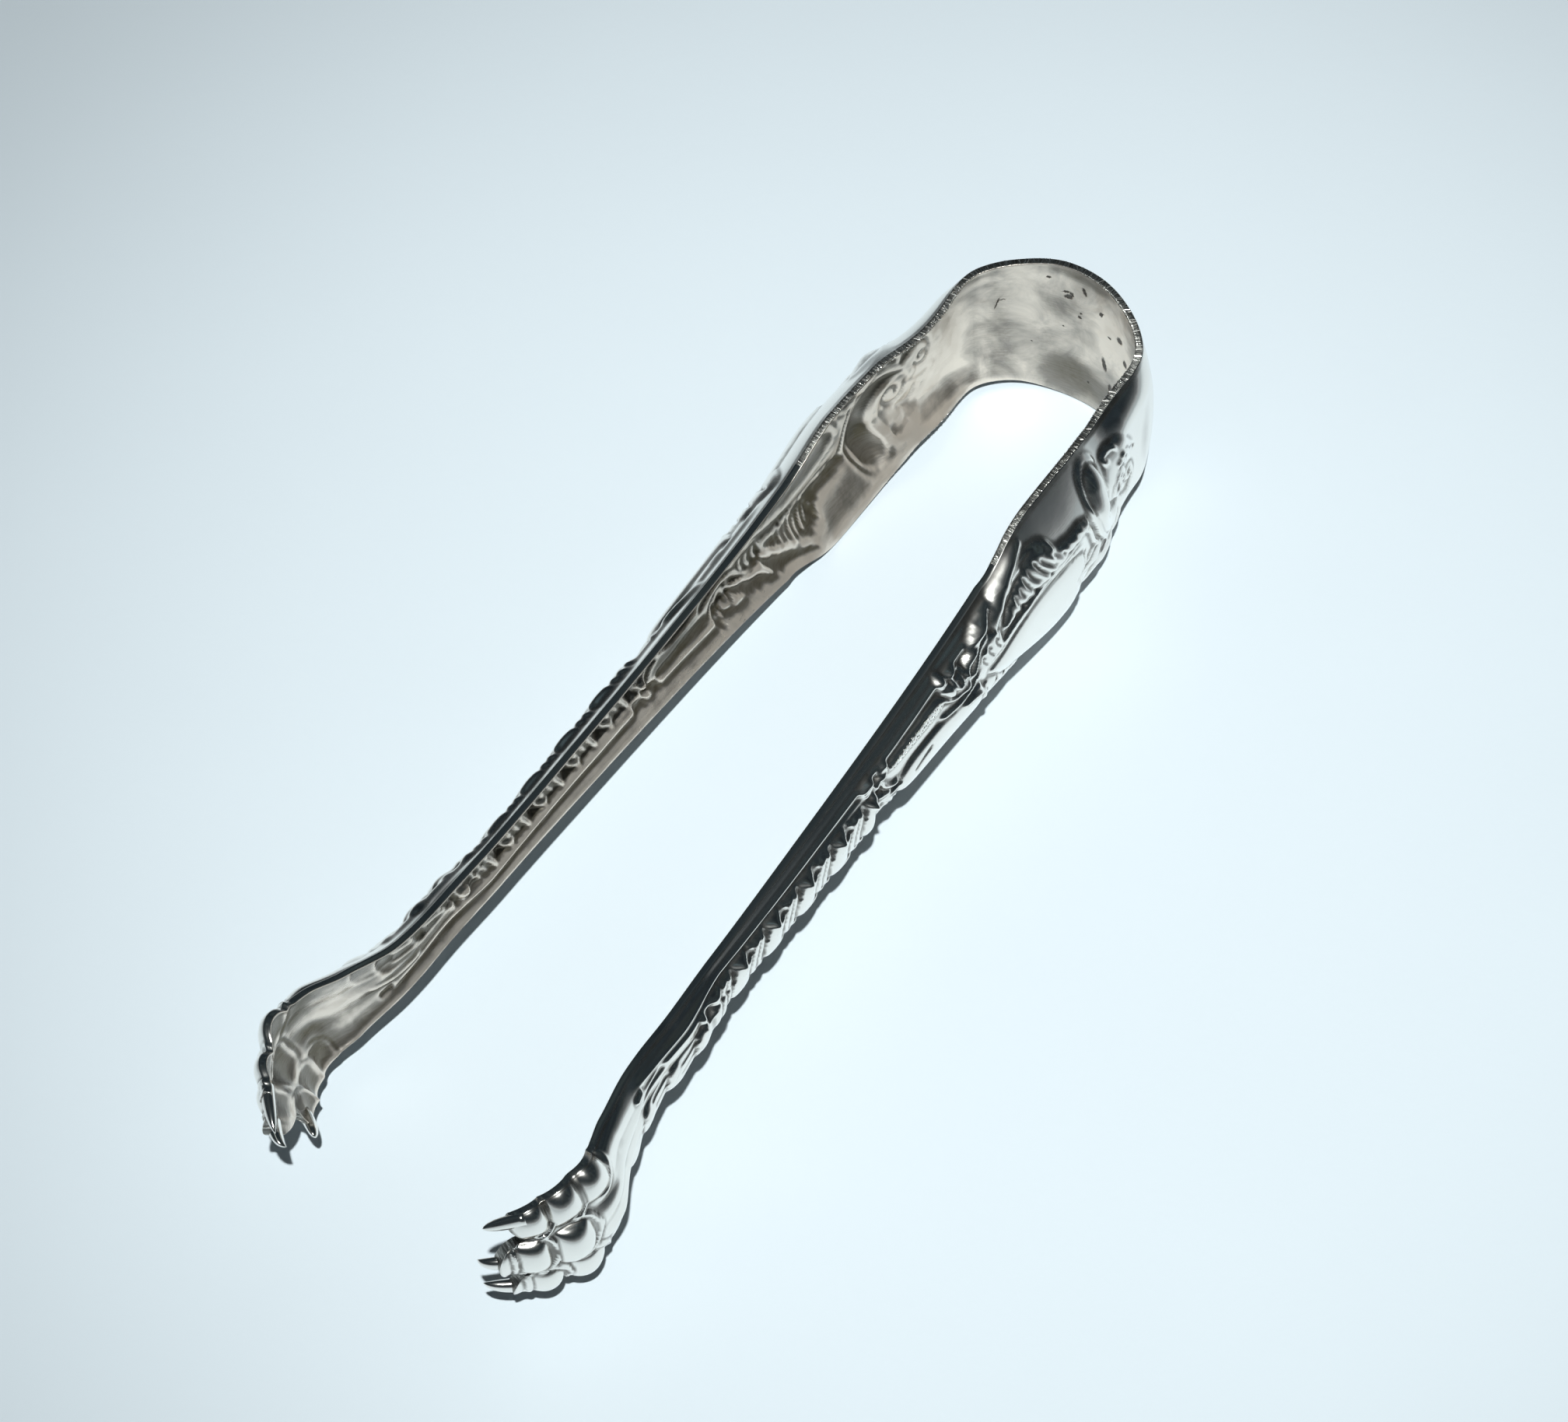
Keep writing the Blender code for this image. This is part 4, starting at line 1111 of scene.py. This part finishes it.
def made_by(name, mesh, tree, inputs):
    """A plain object with what a geometry tree makes of a mesh."""
    obj = link(name, mesh)
    modifier = obj.modifiers.new("tree", "NODES")
    modifier.node_group = tree
    for key, value in inputs.items():
        modifier[tree.interface.items_tree[key].identifier] = value
    graph = bpy.context.evaluated_depsgraph_get()
    made = bpy.data.meshes.new_from_object(obj.evaluated_get(graph))
    obj.modifiers.clear()
    obj.data = made
    return obj


def follow_strip(obj, name):
    """Bakes a piece of one half into place, unparented, and hides the bow and arm parts that it stands in
    for.
    """
    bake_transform(obj)
    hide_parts(name + "_arm", "bow")


def ride_arm(obj, name, replaced):
    """Moves a stiff piece of one half with its arm."""
    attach(obj, name + "_arm")
    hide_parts(replaced)


class TONGS_OT_file_marks(bpy.types.Operator):
    """Add the marks of the file across both edges of each half"""

    bl_idname = "tongs.file_marks"
    bl_label = "File marks"

    def execute(self, context):
        sizes = sizes_of()
        rows = np.arange(0.0, MARKED_TO, 0.3)
        for name, side in SIDES:
            lines = []
            for edge in (1, -1):
                v = edge * (along(WIDTHS, rows) / 2 - 0.55 * sizes.file_bar / MM)
                lift = along(UPPER_LIFTS, rows) if edge > 0 else along(LOWER_LIFTS, rows)
                lines.append(turned(on_strip(rows, v, lift), side) * MM)
            count = len(rows)
            edges = [(i, i + 1) for i in range(2 * count - 1) if i != count - 1]
            mesh = bpy.data.meshes.new(name + "_edge_lines")
            mesh.from_pydata([tuple(p) for p in np.concatenate(lines)], edges, [])
            inputs = {"Spacing": sizes.file_mark, "Thickness": sizes.file_bar, "Length": SHEET * 0.86 * MM,
                      "Finish": finish("freshly_filed_silver")}
            obj = made_by(name + "_file_marks", mesh, geometry_tree("file_marks"), inputs)
            follow_strip(obj, name)
        return {"FINISHED"}


class TONGS_OT_stipple(bpy.types.Operator):
    """Add the stippled band between the two collars of each arm"""

    bl_idname = "tongs.stipple"
    bl_label = "Stippled band"

    def execute(self, context):
        for name, side in SIDES:
            rows, columns = np.arange(45.3, 52.3, 0.12), np.linspace(0, 1, 8)
            s, share = np.meshgrid(rows, columns, indexing="ij")
            low, high = np.interp(s, (45, 52.4), (1.95, 1.85)), np.interp(s, (45, 52.4), (2.75, 2.2))
            place = low + (high - low) * share
            v, height = surface(s, place / (along(WIDTHS, s) / 2), 1)
            points = turned(on_strip(s, v, height - 0.03), side).reshape(-1, 3) * MM
            count = len(columns)
            faces = [(i, i + count, i + count + 1, i + 1)
                     for i in range(len(points) - count) if (i + 1) % count]
            if side < 0:
                faces = [face[::-1] for face in faces]
            mesh = bpy.data.meshes.new(name + "_band")
            mesh.from_pydata([tuple(p) for p in points], [], faces)
            inputs = {"Bead": sizes_of().bead, "Finish": finish("polished_sterling_silver")}
            obj = made_by(name + "_stipple", mesh, geometry_tree("stipple"), inputs)
            ride_arm(obj, name, name + "_arm")
        return {"FINISHED"}


class TONGS_OT_claws(bpy.types.Operator):
    """Add both claws, each a foot of three knuckled toes with talons"""

    bl_idname = "tongs.claws"
    bl_label = "Claws"

    def execute(self, context):
        for name, side in SIDES:
            mesh, facing, kinds = part_of_half(name + "_foot", ANKLE, FOOT_END, side)
            finish_mesh(mesh, facing, kinds)
            obj = link(name + "_foot", mesh)
            ride_arm(obj, name, name + "_claw")
            bm = bmesh.new()
            layers = [bm.verts.layers.float.new(key) for key in ("along", "across", "film")]
            for tip, q, end in zip(TALON_TIPS[name], TOE_SHARES, TOE_ENDS):
                tip = np.array([tip[0], tip[1], BLANK_WIDTH / 2 + tip[2]])
                seat = np.array([[end - TALON_SEAT, end]])
                v, h = surface(seat, np.array([[q, q]]), 1)
                root, ahead = on_strip(seat, v, h - SHEET / 2 - TALON_DEPTH)[0]
                middle = 0.65 * ahead + 0.35 * tip + (ahead - root) * 0.3
                rings = talon_rings(root, middle, tip, sizes_of().talon_root / MM / 2)
                add_rings(bm, turned(rings.reshape(-1, 3), side).reshape(rings.shape) * MM, layers)
            bmesh.ops.recalc_face_normals(bm, faces=bm.faces)
            talons = bpy.data.meshes.new(name + "_talons")
            bm.to_mesh(talons)
            bm.free()
            talons.materials.append(finish("polished_sterling_silver"))
            obj = link(name + "_talons", talons)
            ride_arm(obj, name, name + "_claw")
        return {"FINISHED"}


# Millimetres and degrees; the focal length is in pixels of a picture PHOTO_WIDTH wide
CAMERA = {"azimuth": 35.2547, "elevation": 53.8204, "roll": -1.9892, "distance": 517.946,
          "target": (0.5568, -45.7572), "focal": 8335.207}
PHOTO_WIDTH = 2016
SENSOR_WIDTH = 36.0
# The lamp's distance behind the camera's target and above its line, and the beams' angles
LAMP_BACK, LAMP_UP = 1.96, 0.39
WIDE_BEAM, NARROW_BEAM = 150.0, 7.4
# Where the narrow beam is brightest, to the right of the target and above it
BEAM_RIGHT, BEAM_UP = 0.018, -0.003


class TONGS_OT_stage(bpy.types.Operator):
    """Add the sheet of paper, the light and the camera"""

    bl_idname = "tongs.stage"
    bl_label = "Table, light and camera"

    def execute(self, context):
        scene = context.scene
        settings = stage_of()
        bm = bmesh.new()
        reach = 1.2
        for x, y in ((-reach, -reach), (reach, -reach), (reach, reach), (-reach, reach)):
            bm.verts.new((x, y, -0.05 * MM))
        bm.faces.new(bm.verts)
        mesh = bpy.data.meshes.new("paper")
        bm.to_mesh(mesh)
        bm.free()
        paper = link("paper", mesh)
        mesh.materials.append(finish("matt_white_paper"))
        add_world(scene)
        back, right, up = camera_axes()
        target = Vector((CAMERA["target"][0], CAMERA["target"][1], BLANK_WIDTH / 2)) * MM
        place = target + back * CAMERA["distance"] * MM
        camera = bpy.data.objects.new("camera", bpy.data.cameras.new("camera"))
        scene.collection.objects.link(camera)
        rotation = Matrix((right, up, back)).transposed()
        camera.matrix_world = Matrix.Translation(place) @ rotation.to_4x4()
        camera.data.sensor_width = SENSOR_WIDTH
        camera.data.sensor_fit = "HORIZONTAL"
        camera.data.lens = CAMERA["focal"] * SENSOR_WIDTH / PHOTO_WIDTH
        camera.data.clip_start = 0.01
        scene.camera = camera
        place = target + back * LAMP_BACK + up * LAMP_UP
        add_lamp(scene, "lamp", place, target, settings.lamp, WIDE_BEAM)
        brightest = target + right * BEAM_RIGHT + up * BEAM_UP
        add_lamp(scene, "middle_of_the_beam", place, brightest, settings.lamp * settings.beam, NARROW_BEAM)
        scene.view_settings.view_transform = "Standard"
        return {"FINISHED"}


def add_world(scene):
    """The dim room round the table, paler towards the floor, the same for every ray."""
    world = bpy.data.worlds.new("room")
    world.use_nodes = True
    world.node_tree.nodes.clear()
    add = partial(add_node, world.node_tree)
    place = add("ShaderNodeTexCoord")
    parts = add("ShaderNodeSeparateXYZ", {"Vector": place.outputs["Generated"]})
    patches = add("ShaderNodeTexNoise", {"Scale": 7.0, "Detail": 3.0, "Vector": place.outputs["Generated"]})
    room = ramp(add, patches.outputs["Fac"],
                [(0.36, linear("#12171C")), (0.5, linear("#2A343B")), (0.6, linear("#252924")),
                 (0.72, linear("#55666F"))])
    height = ramp(add, parts.outputs["Z"], [(0.0, grey(0.45)), (0.08, grey(0.85)), (0.3, grey(1))])
    sky = add("ShaderNodeMix", {"Factor": height, 6: linear("#DCE2E6"), 7: room}, data_type="RGBA")
    plain = add("ShaderNodeBackground", {"Strength": 1.0, "Color": sky.outputs[2]})
    add("ShaderNodeOutputWorld", {"Surface": plain})
    scene.world = world


def camera_axes():
    """The camera's back, right and up directions."""
    azimuth, elevation, roll = (math.radians(CAMERA[key]) for key in ("azimuth", "elevation", "roll"))
    back = Vector((math.sin(azimuth) * math.cos(elevation), -math.cos(azimuth) * math.cos(elevation),
                   math.sin(elevation)))
    level = Vector((math.cos(azimuth), math.sin(azimuth), 0))
    up = back.cross(level)
    right = math.cos(roll) * level + math.sin(roll) * up
    return back, right, back.cross(right)


def add_lamp(scene, name, place, target, power, beam):
    """A small far lamp, which throws a crisp shadow, as a spot of this whole angle in degrees."""
    light = bpy.data.lights.new(name, "SPOT")
    light.shadow_soft_size = 26 * MM
    light.spot_size = math.radians(beam)
    light.spot_blend = 1.0
    light.energy = power
    light.color = linear("#FAFFFF")[:3]
    lamp = bpy.data.objects.new(name, light)
    scene.collection.objects.link(lamp)
    facing = (place - target).to_track_quat("Z", "Y").to_matrix().to_4x4()
    lamp.matrix_world = Matrix.Translation(place) @ facing


class TONGS_PT_panel(bpy.types.Panel):
    """Lists the steps in the order that a maker takes them"""

    bl_label = "Sugar tongs"
    bl_idname = "TONGS_PT_panel"
    bl_space_type = "VIEW_3D"
    bl_region_type = "UI"
    bl_category = "Tongs"

    def draw(self, context):
        for settings in (sizes_of(), finishes_of(), stage_of()):
            for name in settings.__annotations__:
                self.layout.prop(settings, name)
        for step in STEPS:
            self.layout.operator(step.bl_idname)


STEPS = (TONGS_OT_strip, TONGS_OT_file_marks, TONGS_OT_stipple, TONGS_OT_claws, TONGS_OT_stage)
CLASSES = (TongsSizes, TongsFinishes, TongsStage) + STEPS + (TONGS_PT_panel,)


def register():
    for cls in CLASSES:
        bpy.utils.register_class(cls)
    bpy.types.Scene.tongs_sizes = bpy.props.PointerProperty(type=TongsSizes)
    bpy.types.Scene.tongs_finishes = bpy.props.PointerProperty(type=TongsFinishes)
    bpy.types.Scene.tongs_stage = bpy.props.PointerProperty(type=TongsStage)


def unregister():
    del bpy.types.Scene.tongs_stage
    del bpy.types.Scene.tongs_finishes
    del bpy.types.Scene.tongs_sizes
    for cls in reversed(CLASSES):
        bpy.utils.unregister_class(cls)


def main():
    register()
    bpy.ops.tongs.strip()
    bpy.ops.tongs.file_marks()
    bpy.ops.tongs.stipple()
    bpy.ops.tongs.claws()
    bpy.ops.tongs.stage()


if __name__ == "__main__":
    main()
